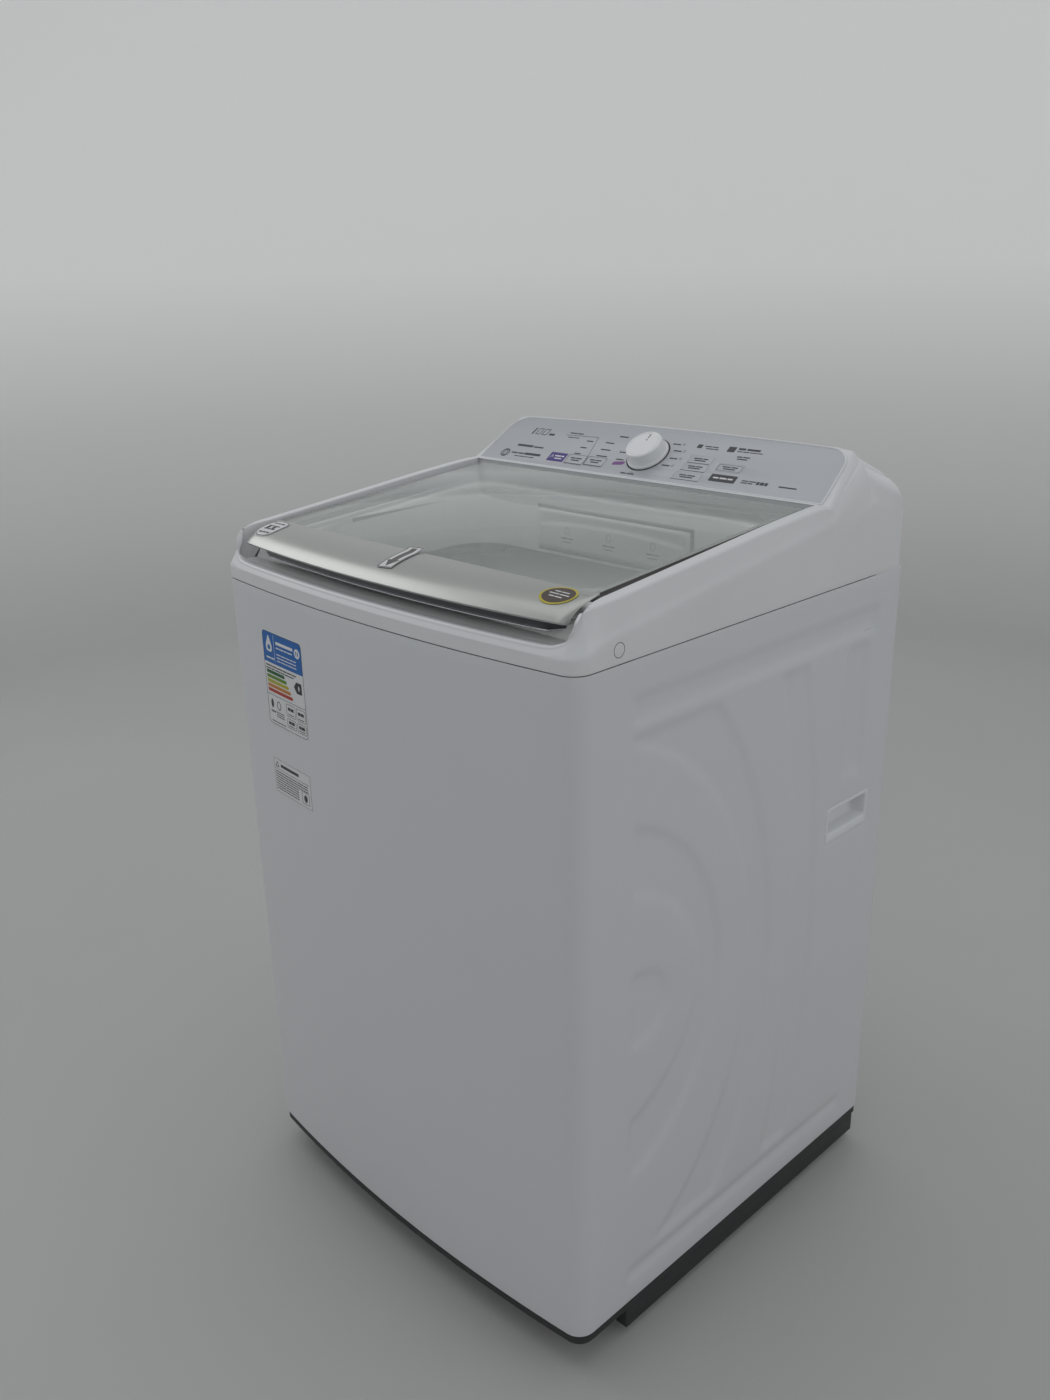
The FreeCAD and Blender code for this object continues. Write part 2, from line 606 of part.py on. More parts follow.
def make_lid():
    rise = (d.lid_rear_level - d.lid_front_level) / (d.lid_glass_rear - d.lid_glass_front)

    def on_lid(depth, below=0):
        return (depth, d.lid_front_level + rise * (as_size(depth) - d.lid_glass_front) - below)
    front = d.lid_glass_front
    rear = d.lid_glass_rear
    glass = side_prism([on_lid(front - 12, 0.4), on_lid(rear), on_lid(rear, d.glass_thick),
                        on_lid(front - 12, d.glass_thick)], d.lid_half * 2)
    finish("lid_glass", glass)
    bow = d.front_bow
    edge = d.lid_front_edge
    plan = plan_prism(d.lid_half, edge + bow, front + 1, bow, 900, 1010, as_size(18))
    strip = side_prism([
        on_lid(front - 12.5, 0), on_lid(-262, 2), on_lid(-278, 5), on_lid(-292, 10), (edge, 953),
        (edge, 949.5), on_lid(-291, 14), on_lid(-277, 9), on_lid(-261, 6), on_lid(front - 12.5, 4.4)],
        d.lid_half * 2 + 4)
    finish("lid_front_trim", common(strip, plan))
    grip_plan = plan_prism(d.lid_half - 20, edge + bow + 10, front + 1, bow, 900, 1010, as_size(14))
    grip = side_prism([
        on_lid(front - 3, 4.8), on_lid(-262, 6.6), on_lid(-277, 9.8), on_lid(-287, 13.6), (-291, 946), (-289, 935),
        (-284, 932), (-276, 933), (-272, 946), on_lid(-262, 12), on_lid(front - 3, 10)], d.lid_half * 2)
    finish("lid_grip", common(grip, grip_plan))
    bars = []
    for sign in (-1, 1):
        middle_x = sign * (d.lid_half - 8)
        bars.append(side_prism([on_lid(front + 2, 4.3), on_lid(rear, 4.3), on_lid(rear, 16),
                                on_lid(front + 2, 12)], as_size(14), middle_x))
    bars.append(side_prism([on_lid(112, 4.3), on_lid(rear, 4.3), on_lid(rear, 14), on_lid(112, 8)],
                           d.lid_half * 2 - 4))
    frame = fuse(*bars)
    bore = rod((-400, d.pivot_rear, d.pivot_level), d.pivot_radius, 800, ALONG_X)
    finish("lid_frame", cut(frame, bore))
    pins = []
    for sign in (-1, 1):
        foot_x = d.lid_half - 20 if sign > 0 else -d.rim_inside - 6
        pins.append(rod((foot_x, d.pivot_rear, d.pivot_level), d.pivot_radius,
                        d.rim_inside + 26 - d.lid_half, ALONG_X))
    finish("lid_hinge_pins", group(*pins))
    switch = slab((268, -205, 922), (290, -165, 948))
    finish("lid_switch", switch)


# ---- Tub, basket and agitator ----

def make_tub():
    outside, inside = d.tub_radius, d.tub_radius - d.tub_wall
    base, top = d.tub_base, d.tub_top
    bore = d.spin_tube_radius + d.running_gap
    shell = turned([(bore, base), (outside - 14, base), (outside, base + 14), (outside, top),
                    (inside, top), (inside, base + 16), (outside - 16, base + 4), (d.hub_radius, base + 4),
                    (d.hub_radius, base + 18), (bore, base + 18)])
    lugs = []
    for angle in (45, 135, 225, 315):
        lug = box((0, -22, d.lug_level), (d.lug_reach - outside + 2, 44, 12))
        turn = FreeCAD.Rotation(FreeCAD.Vector(0, 0, 1), angle)
        reach = outside - 1
        x = reach * math.cos(math.radians(angle)) + 22 * math.sin(math.radians(angle))
        y = reach * math.sin(math.radians(angle)) - 22 * math.cos(math.radians(angle))
        lugs.append(place(lug, (x, y, d.lug_level), turn))
    holes = [rod((x, y, d.lug_level - 20), d.rod_radius + 1.5, 60)
             for x, y in four_corners(d.rod_station, d.rod_station)]
    sump = rod((d.pump_station, d.pump_station, base - 12), 19, 13)
    sump_hole = rod((d.pump_station, d.pump_station, base - 20), 15, 40)
    finish("outer_tub", cut(fuse(shell, *lugs, sump), *holes, sump_hole))
    ring = turned([(d.tub_ring_inside, top + 0.3), (outside + 2, top + 0.3), (outside + 2, top + 6),
                   (outside - 30, top + 14), (d.tub_ring_inside, top + 14)])
    finish("tub_ring", ring)
    seal = tube((0, 0, base + 18.3), d.hub_radius - 4, bore, 8)
    finish("tub_seal", seal)


def make_basket():
    outside, wall = d.basket_radius, d.basket_wall
    base, top = d.basket_base, d.basket_top
    bore = d.shaft_radius + d.running_gap
    shell = turned([(60, base), (outside - 12, base), (outside, base + 12), (outside, top),
                    (outside - wall, top), (outside - wall, base + 13), (outside - 13, base + wall + 1),
                    (60, base + wall + 1)])
    finish("wash_basket", shell)
    hub = turned([(bore, d.tub_base - 8), (d.spin_tube_radius, d.tub_base - 8),
                  (d.spin_tube_radius, base - 6), (110, base - 6), (110, base - 0.1), (60 - 0.2, base - 0.1),
                  (60 - 0.2, base + 6), (bore, base + 6)])
    finish("basket_hub", hub)
    ring = turned([(d.balance_inside, top - 22), (outside - wall - 0.2, top - 22),
                   (outside - wall - 0.2, top + 0.2), (outside + 2, top + 0.2), (outside + 2, top + 6),
                   (outside - 10, top + 12), (d.balance_inside + 8, top + 12), (d.balance_inside, top + 4)])
    finish("balance_ring", ring)


def make_agitator():
    low = d.basket_base + 8
    bore = d.shaft_radius + d.running_gap
    core = turned([(bore, low + 14), (d.agitator_skirt, low), (d.agitator_skirt, low + 6),
                   (95, low + 26), (64, low + 70), (d.agitator_neck, low + 180),
                   (d.agitator_neck - 6, d.agitator_top), (16, d.agitator_top), (16, low + 64),
                   (bore, low + 60)])
    hollow = turned([(16.1, low + 72), (d.agitator_neck - 4, low + 186), (d.agitator_neck - 10, d.agitator_top - 6),
                     (16.1, d.agitator_top - 6)])
    vanes = []
    for angle in (0, 90, 180, 270):
        vane = new_body(MIDDLE, FreeCAD.Rotation(FreeCAD.Vector(0, 0, 1), angle))
        sketch = sketch_on(vane, "XZ_Plane")
        draw_outline(sketch, [(30, low + 20), (d.agitator_skirt - 8, low + 4), (d.agitator_skirt - 16, low + 40),
                              (d.agitator_skirt - 50, low + 110), (d.agitator_neck + 34, low + 230),
                              (d.agitator_neck + 6, low + 290), (30, low + 300)])
        pad(vane, sketch, 7, both_ways=True)
        vanes.append(vane)
    finish("agitator", cut(fuse(core, *vanes), hollow))
    cap = turned([(0, d.agitator_top + 0.2), (d.agitator_neck - 6, d.agitator_top + 0.2),
                  (d.agitator_neck - 4, d.agitator_top + 6), (d.agitator_neck - 8, d.agitator_top + 44),
                  (d.agitator_neck - 20, d.agitator_top + 52), (0, d.agitator_top + 54)])
    finish("agitator_cap", cap)
    finish("agitator_shaft", rod((0, 0, d.tub_base - 6), d.shaft_radius, low + 60 - d.tub_base))


# ---- Drive under the tub ----

def belt_loop(radius_big, radius_small, span, low, high):
    """A tight loop round two wheels: the big one at the origin and the small one at -X."""
    lean = math.asin((radius_big - radius_small) / span)
    up, back = math.cos(lean), -math.sin(lean)

    def spot(centre, radius, side):
        return FreeCAD.Vector(centre + radius * back, side * radius * up, low)
    big_top, big_low = spot(0, radius_big, 1), spot(0, radius_big, -1)
    small_top, small_low = spot(-span, radius_small, 1), spot(-span, radius_small, -1)
    edges = [Part.Arc(big_low, FreeCAD.Vector(radius_big, 0, low), big_top).toShape(),
             Part.LineSegment(big_top, small_top).toShape(),
             Part.Arc(small_top, FreeCAD.Vector(-span - radius_small, 0, low), small_low).toShape(),
             Part.LineSegment(small_low, big_low).toShape()]
    return Part.Face(Part.Wire(edges)).extrude(FreeCAD.Vector(0, 0, high - low))


def make_belt():
    """The belt's loop is tangent to both wheels, which the solid's own edges state directly."""
    feature = doc.addObject("Part::Feature", spare_name("belt"))
    low = DIMENSIONS["belt_level"] - DIMENSIONS["belt_width"] / 2
    high = low + DIMENSIONS["belt_width"]
    big = DIMENSIONS["drive_pulley_radius"] + DIMENSIONS["part_gap"]
    small = DIMENSIONS["motor_pulley_radius"] + DIMENSIONS["part_gap"]
    span = DIMENSIONS["motor_offset"]
    thick = DIMENSIONS["belt_thick"]
    outer = belt_loop(big + thick, small + thick, span, low, high)
    feature.Shape = outer.cut(belt_loop(big, small, span, low - 1, high + 1))
    feature.Placement = FreeCAD.Placement()
    finish("drive_belt", feature)


def pulley(centre_x, radius, bore):
    """A flat-bottomed wheel with a flange above and below the belt."""
    low = d.belt_level - d.belt_width / 2
    high = d.belt_level + d.belt_width / 2
    rim = radius + 2
    return turned([(bore, low - 3), (rim, low - 3), (rim, low - 0.6), (radius, low - 0.6),
                   (radius, high + 0.6), (rim, high + 0.6), (rim, high + 3), (bore, high + 3)],
                  (centre_x, 0, 0))


def make_drive():
    top = d.tub_base - 0.2
    bore = d.spin_tube_radius + 2
    case = turned([(bore, top - 60), (d.gearcase_radius, top - 60), (d.gearcase_radius, top - 6),
                   (d.gearcase_radius + 22, top - 6), (d.gearcase_radius + 22, top), (bore, top)])
    lower = turned([(8.06, 176), (52, 176), (d.gearcase_radius - 8, top - 60.2), (8.06, top - 60.2)])
    finish("gearcase", fuse(case, lower, tube((0, 0, top - 60.4), d.gearcase_radius - 2, bore, 2)))
    finish("drive_pulley", fuse(pulley(0, d.drive_pulley_radius, 7), rod((0, 0, 146), 8, 45)))
    centre = -d.motor_offset
    bracket = slab((centre - 72, -72, top - 6), (-(d.gearcase_radius + 24), 72, top))
    finish("motor_bracket", bracket)
    motor = rod((centre, 0, 170), d.motor_radius, top - 176.2)
    finish("drive_motor", cut(motor, rod((centre, 0, 160), 6.06, 60)))
    finish("motor_pulley", fuse(pulley(centre, d.motor_pulley_radius, 5), rod((centre, 0, 146), 6, 55)))
    make_belt()


# ---- Suspension ----

def make_suspension():
    stations = four_corners(d.rod_station, d.rod_station)
    brackets, rods, springs, cups = [], [], [], []
    wall = half_width - d.steel_gauge - 0.1
    for x, y in stations:
        right = x.value > 0
        low_x, high_x = (x - 20, wall) if right else (-wall, x + 20)
        low_y, high_y = (y - 22, y + 10) if y.value > 0 else (y - 10, y + 22)
        brackets.append(cut(slab((low_x, low_y, d.rod_top - 10), (high_x, high_y, d.rod_top - 4)),
                            rod((x, y, d.rod_top - 20), d.rod_radius + 0.4, 40)))
        rods.append(fuse(rod((x, y, d.cup_level - 8), d.rod_radius, d.rod_top - d.cup_level + 8),
                         rod((x, y, d.rod_top - 3.8), 9, 7)))
        cups.append(tube((x, y, d.cup_level - 2), d.spring_radius + 3, d.rod_radius + 0.2, 9))
        springs.append(tube((x, y, d.cup_level + 7.2), d.spring_radius, d.spring_radius - 4,
                            d.lug_level - d.cup_level - 7.4))
    finish("hanger_brackets", group(*brackets))
    finish("suspension_rods", group(*rods))
    finish("spring_cups", group(*cups))
    finish("suspension_springs", group(*springs))


# ---- Drain ----

def make_drain():
    station = d.pump_station
    level = d.pump_level
    floor = d.cabinet_base + 0.2
    chamber_low = level - 18
    body = fuse(rod((station, station, floor), 28, chamber_low - floor + 1),
                rod((station, station, chamber_low), d.pump_radius, 36),
                rod((station, station, chamber_low + 34), 19, 16))
    way_out = rod((station, station + 10, level), d.drain_bore, 60, ALONG_Y)
    stub = rod((station, station + 30, level), d.drain_outside, 20, ALONG_Y)
    chamber = rod((station, station, chamber_low + 3), d.pump_radius - 4, 30)
    inlet = rod((station, station, level), 15, 60)
    finish("drain_pump", cut(fuse(body, stub), chamber, way_out, inlet))
    vanes = [box((station - 26, station - 2, chamber_low + 8), (52, 4, 18)),
             box((station - 2, station - 26, chamber_low + 8), (4, 52, 18))]
    finish("pump_impeller", fuse(rod((station, station, chamber_low + 6), 7, 22), *vanes))
    finish("drain_outlet", tube((station, station + 50.2, level), d.drain_outside, d.drain_bore,
                                rear_face - station - 50.4, ALONG_Y))
    hose_low = chamber_low + 50.2
    hose_high = d.tub_base - 12.2
    waves = 7
    pitch = (hose_high - hose_low) / waves
    outline = [(16, hose_low)]
    for number in range(waves):
        low = hose_low + pitch * number
        outline += [(19, low), (23, low + pitch * 0.3), (23, low + pitch * 0.6)]
    outline += [(19, hose_high), (16, hose_high)]
    finish("sump_hose", turned(outline, (station, station, 0)))


def check_everything():
    for obj in doc.Objects:
        if "Invalid" in obj.State or "Error" in obj.State:
            raise ValueError(f"{obj.Label} failed: {obj.State}")
    for part in finished:
        if part.Shape.isNull() or not part.Shape.isValid():
            raise ValueError(f"{part.Label} is not a valid solid")


make_cabinet()
make_back_panel()
make_rear_screws()
make_handle_cups()
make_base()
make_feet()
make_top_cover()
make_back_cover()
make_fascia()
make_console_works()
make_drawer()
make_lid()
make_tub()
make_basket()
make_agitator()
make_drive()
make_suspension()
make_drain()
doc.recompute()
check_everything()
os.makedirs("parts", exist_ok=True)
for part in finished:
    part.Shape.exportStep(f"parts/{part.Label}.step")
    print(part.Label, len(part.Shape.Solids), round(part.Shape.Volume / 1000, 1))
print(len(finished), "nodes")
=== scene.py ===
import json
import math
import random

import bmesh
import bpy
from mathutils import Matrix, Vector
from mathutils.geometry import tessellate_polygon


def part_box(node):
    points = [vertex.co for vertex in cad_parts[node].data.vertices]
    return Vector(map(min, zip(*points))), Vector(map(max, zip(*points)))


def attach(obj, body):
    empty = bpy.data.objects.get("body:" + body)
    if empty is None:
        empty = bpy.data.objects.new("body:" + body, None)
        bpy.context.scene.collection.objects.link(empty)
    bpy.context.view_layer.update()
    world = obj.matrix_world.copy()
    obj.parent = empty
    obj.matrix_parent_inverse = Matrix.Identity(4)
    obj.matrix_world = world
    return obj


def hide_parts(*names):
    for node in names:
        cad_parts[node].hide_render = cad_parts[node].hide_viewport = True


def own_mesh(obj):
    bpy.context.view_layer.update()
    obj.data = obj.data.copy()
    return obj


# The looks of a top load washing machine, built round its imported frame. Sizes are in millimetres until
# a mesh is made. +Z is up, the front faces -Y and the origin is on the floor under the machine.

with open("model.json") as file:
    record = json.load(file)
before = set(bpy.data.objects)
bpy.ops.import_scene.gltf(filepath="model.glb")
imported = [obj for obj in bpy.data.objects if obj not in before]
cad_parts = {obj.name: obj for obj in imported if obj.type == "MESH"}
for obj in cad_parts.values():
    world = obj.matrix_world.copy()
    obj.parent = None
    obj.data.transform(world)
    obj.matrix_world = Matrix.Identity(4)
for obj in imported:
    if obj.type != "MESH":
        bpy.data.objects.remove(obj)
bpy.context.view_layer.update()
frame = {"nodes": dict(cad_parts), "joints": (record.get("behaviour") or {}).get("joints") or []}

MM = 0.001


# ---- Places read from the frame ----

def span(node):
    """A node's lowest and highest corners in millimetres."""
    low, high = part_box(node)
    return low / MM, high / MM


def joint_place(name):
    joint = next(joint for joint in frame["joints"] if joint["name"] == name)
    return Vector(joint["pos_m"]) / MM


CABINET_LOW, CABINET_HIGH = span("cabinet")
COVER_LOW, COVER_HIGH = span("top_cover")
GLASS_LOW, GLASS_HIGH = span("lid_glass")
DRAWER_LOW, DRAWER_HIGH = span("drawer_front")
RING_LOW, RING_HIGH = span("tub_ring")
BASKET_LOW, BASKET_HIGH = span("wash_basket")
BALANCE_LOW, BALANCE_HIGH = span("balance_ring")
AGITATOR_LOW, AGITATOR_HIGH = span("agitator")
CUP_LOW, CUP_HIGH = span("right_handle_cup")

HALF = CABINET_HIGH.x
FRONT = CABINET_LOW.y
REAR = CABINET_HIGH.y
WALL_REAR = REAR - 1.6                      # the rear faces, which leave room for the screw heads
SKIRT = CABINET_LOW.z
SEAM = CABINET_HIGH.z
CROWN = COVER_HIGH.z

BOW = 21                                    # how far the front bows forward of its two ends
BOW_RADIUS = (HALF ** 2 + BOW ** 2) / (2 * BOW)
BOW_CENTRE = FRONT + BOW_RADIUS
CORNER = 25
CORNER_X = HALF - CORNER
CORNER_Y = BOW_CENTRE - math.sqrt((BOW_RADIUS - CORNER) ** 2 - CORNER_X ** 2)

PIVOT = joint_place("lid_hinge")
SILVER_REAR = -231                          # where the glass meets the silver front of the lid
SILVER_LEVEL = 972                          # how high the lid's top plane is there
GLASS_RISE = (GLASS_HIGH.z - SILVER_LEVEL) / (GLASS_HIGH.y - SILVER_REAR)
GLASS_UNDERSIDE = -4.25                     # just under the glass, off the lid's top plane

DIAL_STATION = 47.6
FASCIA_SLOPE = math.radians(34.5)
DIAL_PLACE = joint_place("dial_turn")
UP_PANEL = Vector((0, math.cos(FASCIA_SLOPE), math.sin(FASCIA_SLOPE)))
OFF_PANEL = Vector((0, -math.sin(FASCIA_SLOPE), math.cos(FASCIA_SLOPE)))
PANEL_FOOT = DIAL_PLACE - UP_PANEL * DIAL_STATION


def on_panel(across, station, rise=0):
    """A place station up the console's sloping face and rise off it."""
    return Vector((across, 0, 0)) + PANEL_FOOT + UP_PANEL * station + OFF_PANEL * rise


def front_at(x):
    """The depth of the bowed front at x."""
    return BOW_CENTRE - math.sqrt(BOW_RADIUS ** 2 - x ** 2)


def on_front(x, height, out=0):
    return Vector((x, front_at(x) - out, height))


def lid_level(depth):
    """The height of the lid's top plane at a depth."""
    return GLASS_HIGH.z + GLASS_RISE * (depth - GLASS_HIGH.y)


# ---- Curves and outlines ----

def blend(value, low, high):
    """0 below low, 1 above high and a smooth rise between them."""
    share = min(1.0, max(0.0, (value - low) / (high - low)))
    return share * share * (3 - 2 * share)


def curve_through(points, value):
    """The height at value of a smooth curve through (place, height) points."""
    last = len(points) - 1
    if value <= points[0][0]:
        return points[0][1]
    if value >= points[last][0]:
        return points[last][1]
    k = max(i for i in range(last) if points[i][0] <= value)

    def lean(i):
        before, after = points[max(i - 1, 0)], points[min(i + 1, last)]
        return (after[1] - before[1]) / (after[0] - before[0])
    gap = points[k + 1][0] - points[k][0]
    t = (value - points[k][0]) / gap
    start, end = points[k][1], points[k + 1][1]
    return ((2 * t ** 3 - 3 * t ** 2 + 1) * start + (t ** 3 - 2 * t ** 2 + t) * lean(k) * gap
            + (-2 * t ** 3 + 3 * t ** 2) * end + (t ** 3 - t ** 2) * lean(k + 1) * gap)


def rounded(corners, closed=True, steps=6):
    """Points round an outline whose corners, given as (u, v, radius), become arcs."""
    points = []
    count = len(corners)
    for k, (u, v, radius) in enumerate(corners):
        here = Vector((u, v))
        if radius <= 0 or (not closed and k in (0, count - 1)):
            points.append(here)
            continue
        before = Vector(corners[k - 1][:2]) - here
        after = Vector(corners[(k + 1) % count][:2]) - here
        half = before.angle(after) / 2
        reach = min(radius / math.tan(half), 0.49 * before.length, 0.49 * after.length)
        start = before.normalized() * reach
        end = after.normalized() * reach
        centre = (start + end) / (2 * math.cos(half) ** 2)
        first, turn = start - centre, (start - centre).angle_signed(end - centre)
        for step in range(steps + 1):
            angle = turn * step / steps
            c, s = math.cos(angle), math.sin(angle)
            points.append(here + centre + Vector((first.x * c + first.y * s, first.y * c - first.x * s)))
    return points


def block_outline(left, low, right, high, radius):
    return rounded([(left, low, radius), (right, low, radius), (right, high, radius), (left, high, radius)])


def oval(centre_u, centre_v, radius_u, radius_v=None, count=32):
    radius_v = radius_v or radius_u
    turns = [2 * math.pi * k / count for k in range(count)]
    return [Vector((centre_u + radius_u * math.cos(a), centre_v + radius_v * math.sin(a))) for a in turns]


def inset(loop, distance):
    """An anticlockwise loop moved inwards, or outwards if distance is negative."""
    moved = []
    count = len(loop)
    for k, here in enumerate(loop):
        before = (here - loop[k - 1]).normalized()
        after = (loop[(k + 1) % count] - here).normalized()
        left = Vector((-before.y - after.y, before.x + after.x))
        if left.length < 1e-6:
            left = Vector((-before.y, before.x))
        left.normalize()
        across = max(0.35, left.dot(Vector((-before.y, before.x))))
        moved.append(here + left * (distance / across))
    return moved


def anticlockwise(loop):
    area = sum(a.x * b.y - b.x * a.y for a, b in zip(loop, loop[1:] + loop[:1]))
    return loop if area > 0 else loop[::-1]


# ---- Shapes ----

class Shape:
    """Points in millimetres and the faces between them."""

    def __init__(self, points=(), faces=()):
        self.points = [Vector(p) for p in points]
        self.faces = [tuple(face) for face in faces]

    def add(self, other):
        first = len(self.points)
        self.points += other.points
        self.faces += [tuple(k + first for k in face) for face in other.faces]
        return self

    def moved(self, place):
        """The shape with every point passed through place(point)."""
        return Shape([place(p) for p in self.points], self.faces)

    def raised(self, height):
        return self.moved(lambda p: p + Vector((0, 0, height)))


def join(*shapes):
    whole = Shape()
    for shape in shapes:
        whole.add(shape)
    return whole


def mirrored(shape):
    return Shape([(-p.x, p.y, p.z) for p in shape.points], [face[::-1] for face in shape.faces])


def loft(rings, closed=True, looped=False, capped=False):
    """Faces between rings of equal length; looped joins the last ring to the first."""
    size = len(rings[0])
    faces = []
    for row in range(len(rings) if looped else len(rings) - 1):
        below, above = row * size, (row + 1) % len(rings) * size
        for k in range(size if closed else size - 1):
            after = (k + 1) % size
            faces.append((below + k, below + after, above + after, above + k))
    if capped:
        faces.append(tuple(range(size))[::-1])
        faces.append(tuple(range((len(rings) - 1) * size, len(rings) * size)))
    return Shape([p for ring in rings for p in ring], faces)


def turned(profile, centre=(0, 0, 0), count=48):
    """A surface of revolution about an upright axis, from (radius, height) points."""
    rings = []
    for k in range(count):
        angle = 2 * math.pi * k / count
        c, s = math.cos(angle), math.sin(angle)
        rings.append([Vector((centre[0] + r * c, centre[1] + r * s, centre[2] + z)) for r, z in profile])
    return loft(rings, closed=False, looped=True)


def tube_along(path, radius, looped=False, count=10):
    """A round bead along a path of points."""
    rings = []
    total = len(path)
    side = None
    for k, here in enumerate(path):
        before = path[k - 1] if looped or k else here
        after = path[(k + 1) % total] if looped or k + 1 < total else here
        ahead = (after - before).normalized()
        if side is None:
            side = ahead.orthogonal().normalized()
        side = (side - ahead * side.dot(ahead)).normalized()
        up = ahead.cross(side)
        turns = [2 * math.pi * j / count for j in range(count)]
        rings.append([here + side * (radius * math.cos(a)) + up * (radius * math.sin(a)) for a in turns])
    return loft(rings, looped=looped, capped=not looped)


def sheet_faces(loops, height, upwards=True):
    """A flat face inside the first loop and outside the others."""
    points = [Vector((p.x, p.y, height)) for loop in loops for p in loop]
    triangles = tessellate_polygon([[Vector((p.x, p.y, 0)) for p in loop] for loop in loops])
    return Shape(points, [face if upwards else face[::-1] for face in triangles])


def plate(outline, holes=(), low=0.0, high=1.0, soften=0.4):
    """A plate in (u, v) from low to high, with its upper edges softened."""
    outline = anticlockwise(outline)
    holes = [anticlockwise(hole) for hole in holes]
    shape = Shape()
    for loop, sign in [(outline, 1)] + [(hole, -1) for hole in holes]:
        rings = [[Vector((p.x, p.y, low)) for p in loop]]
        for turn in (0, 45, 90) if soften else (0,):
            across = soften * (1 - math.cos(math.radians(turn))) * sign
            height = high - soften * (1 - math.sin(math.radians(turn)))
            rings.append([Vector((p.x, p.y, height)) for p in inset(loop, across)])
        wall = loft(rings)
        shape.add(wall if sign > 0 else Shape(wall.points, [face[::-1] for face in wall.faces]))
    tops = [inset(outline, soften)] + [inset(hole, -soften) for hole in holes]
    shape.add(sheet_faces(tops, high))
    return shape.add(sheet_faces([outline] + holes, low, upwards=False))


PRINT = 0.12                                # how far print stands off what it is on
STICKER = 0.15                              # the thickness of a sticker
PAPER = 0.2                                 # the thickness of a paper label


def printed(outline, holes=()):
    """A flat printed mark."""
    return plate(outline, holes, 0, PRINT, 0)


def sliced(bm, axis, places):
    """Cuts a mesh in progress across an axis, so that it can bend there."""
    for place in places:
        normal = Vector((0, 0, 0))
        normal[axis] = 1
        everything = bm.verts[:] + bm.edges[:] + bm.faces[:]
        bmesh.ops.bisect_plane(bm, geom=everything, plane_co=normal * place, plane_no=normal)


def cut_across(shape, axis, step):
    """The shape with extra edges every step along an axis."""
    low = min(p[axis] for p in shape.points)
    high = max(p[axis] for p in shape.points)
    bm = bmesh.new()
    corners = [bm.verts.new(p) for p in shape.points]
    for face in shape.faces:
        bm.faces.new([corners[k] for k in face])
    sliced(bm, axis, [low + step * k for k in range(1, int((high - low) / step) + 1)])
    bm.verts.index_update()
    result = Shape([v.co for v in bm.verts], [[v.index for v in face.verts] for face in bm.faces])
    bm.free()
    return result


def finish_mesh(mesh, outwards, sharp):
    """Closes seams, turns the faces outwards and marks the edges that stay sharp."""
    bm = bmesh.new()
    bm.from_mesh(mesh)
    bmesh.ops.remove_doubles(bm, verts=bm.verts, dist=0.00001)
    bmesh.ops.dissolve_degenerate(bm, edges=bm.edges, dist=0.000005)
    loose = [v for v in bm.verts if not v.link_faces]
    bmesh.ops.delete(bm, geom=loose, context="VERTS")
    bmesh.ops.recalc_face_normals(bm, faces=bm.faces)
    if outwards is not None:
        direction = Vector(outwards)
        farthest = max(bm.faces, key=lambda face: face.calc_center_median().dot(direction))
        if farthest.normal.dot(direction) < 0:
            bmesh.ops.reverse_faces(bm, faces=bm.faces)
    limit = math.radians(sharp)
    for edge in bm.edges:
        edge.smooth = len(edge.link_faces) == 2 and edge.calc_face_angle(0) < limit
    for face in bm.faces:
        face.smooth = True
    bm.to_mesh(mesh)
    bm.free()


def piece(name, shape, finish, body, stands_for=(), outwards=None, sharp=35, wall=0.0):
    """A named piece of the machine that rides on a body; wall gives an open shell its thickness."""
    mesh = bpy.data.meshes.new(name)
    mesh.from_pydata([p * MM for p in shape.points], [], shape.faces)
    finish_mesh(mesh, outwards, sharp)
    mesh.materials.append(finish)
    obj = bpy.data.objects.new(name, mesh)
    bpy.context.scene.collection.objects.link(obj)
    if wall:
        thickness = obj.modifiers.new("wall", "SOLIDIFY")
        thickness.thickness = wall * MM
        thickness.offset = -1
        thickness.use_even_offset = True
    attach(obj, body)
    if stands_for:
        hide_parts(*stands_for)
    return obj


# ---- Shader expressions ----

class Wire:
    """A shader value that adds Math nodes when it is used in an expression."""

    def __init__(self, finish, socket):
        self.finish = finish
        self.socket = socket

    def joined(self, operation, first, second):
        return self.finish.add("ShaderNodeMath", {"operation": operation}, {0: first, 1: second})

    def __add__(self, other):
        return self.joined("ADD", self, other)

    def __radd__(self, other):
        return self.joined("ADD", other, self)

    def __sub__(self, other):
        return self.joined("SUBTRACT", self, other)

    def __rsub__(self, other):
        return self.joined("SUBTRACT", other, self)

    def __mul__(self, other):
        return self.joined("MULTIPLY", self, other)

    def __rmul__(self, other):
        return self.joined("MULTIPLY", other, self)

    def __pow__(self, other):
        return self.joined("POWER", self, other)


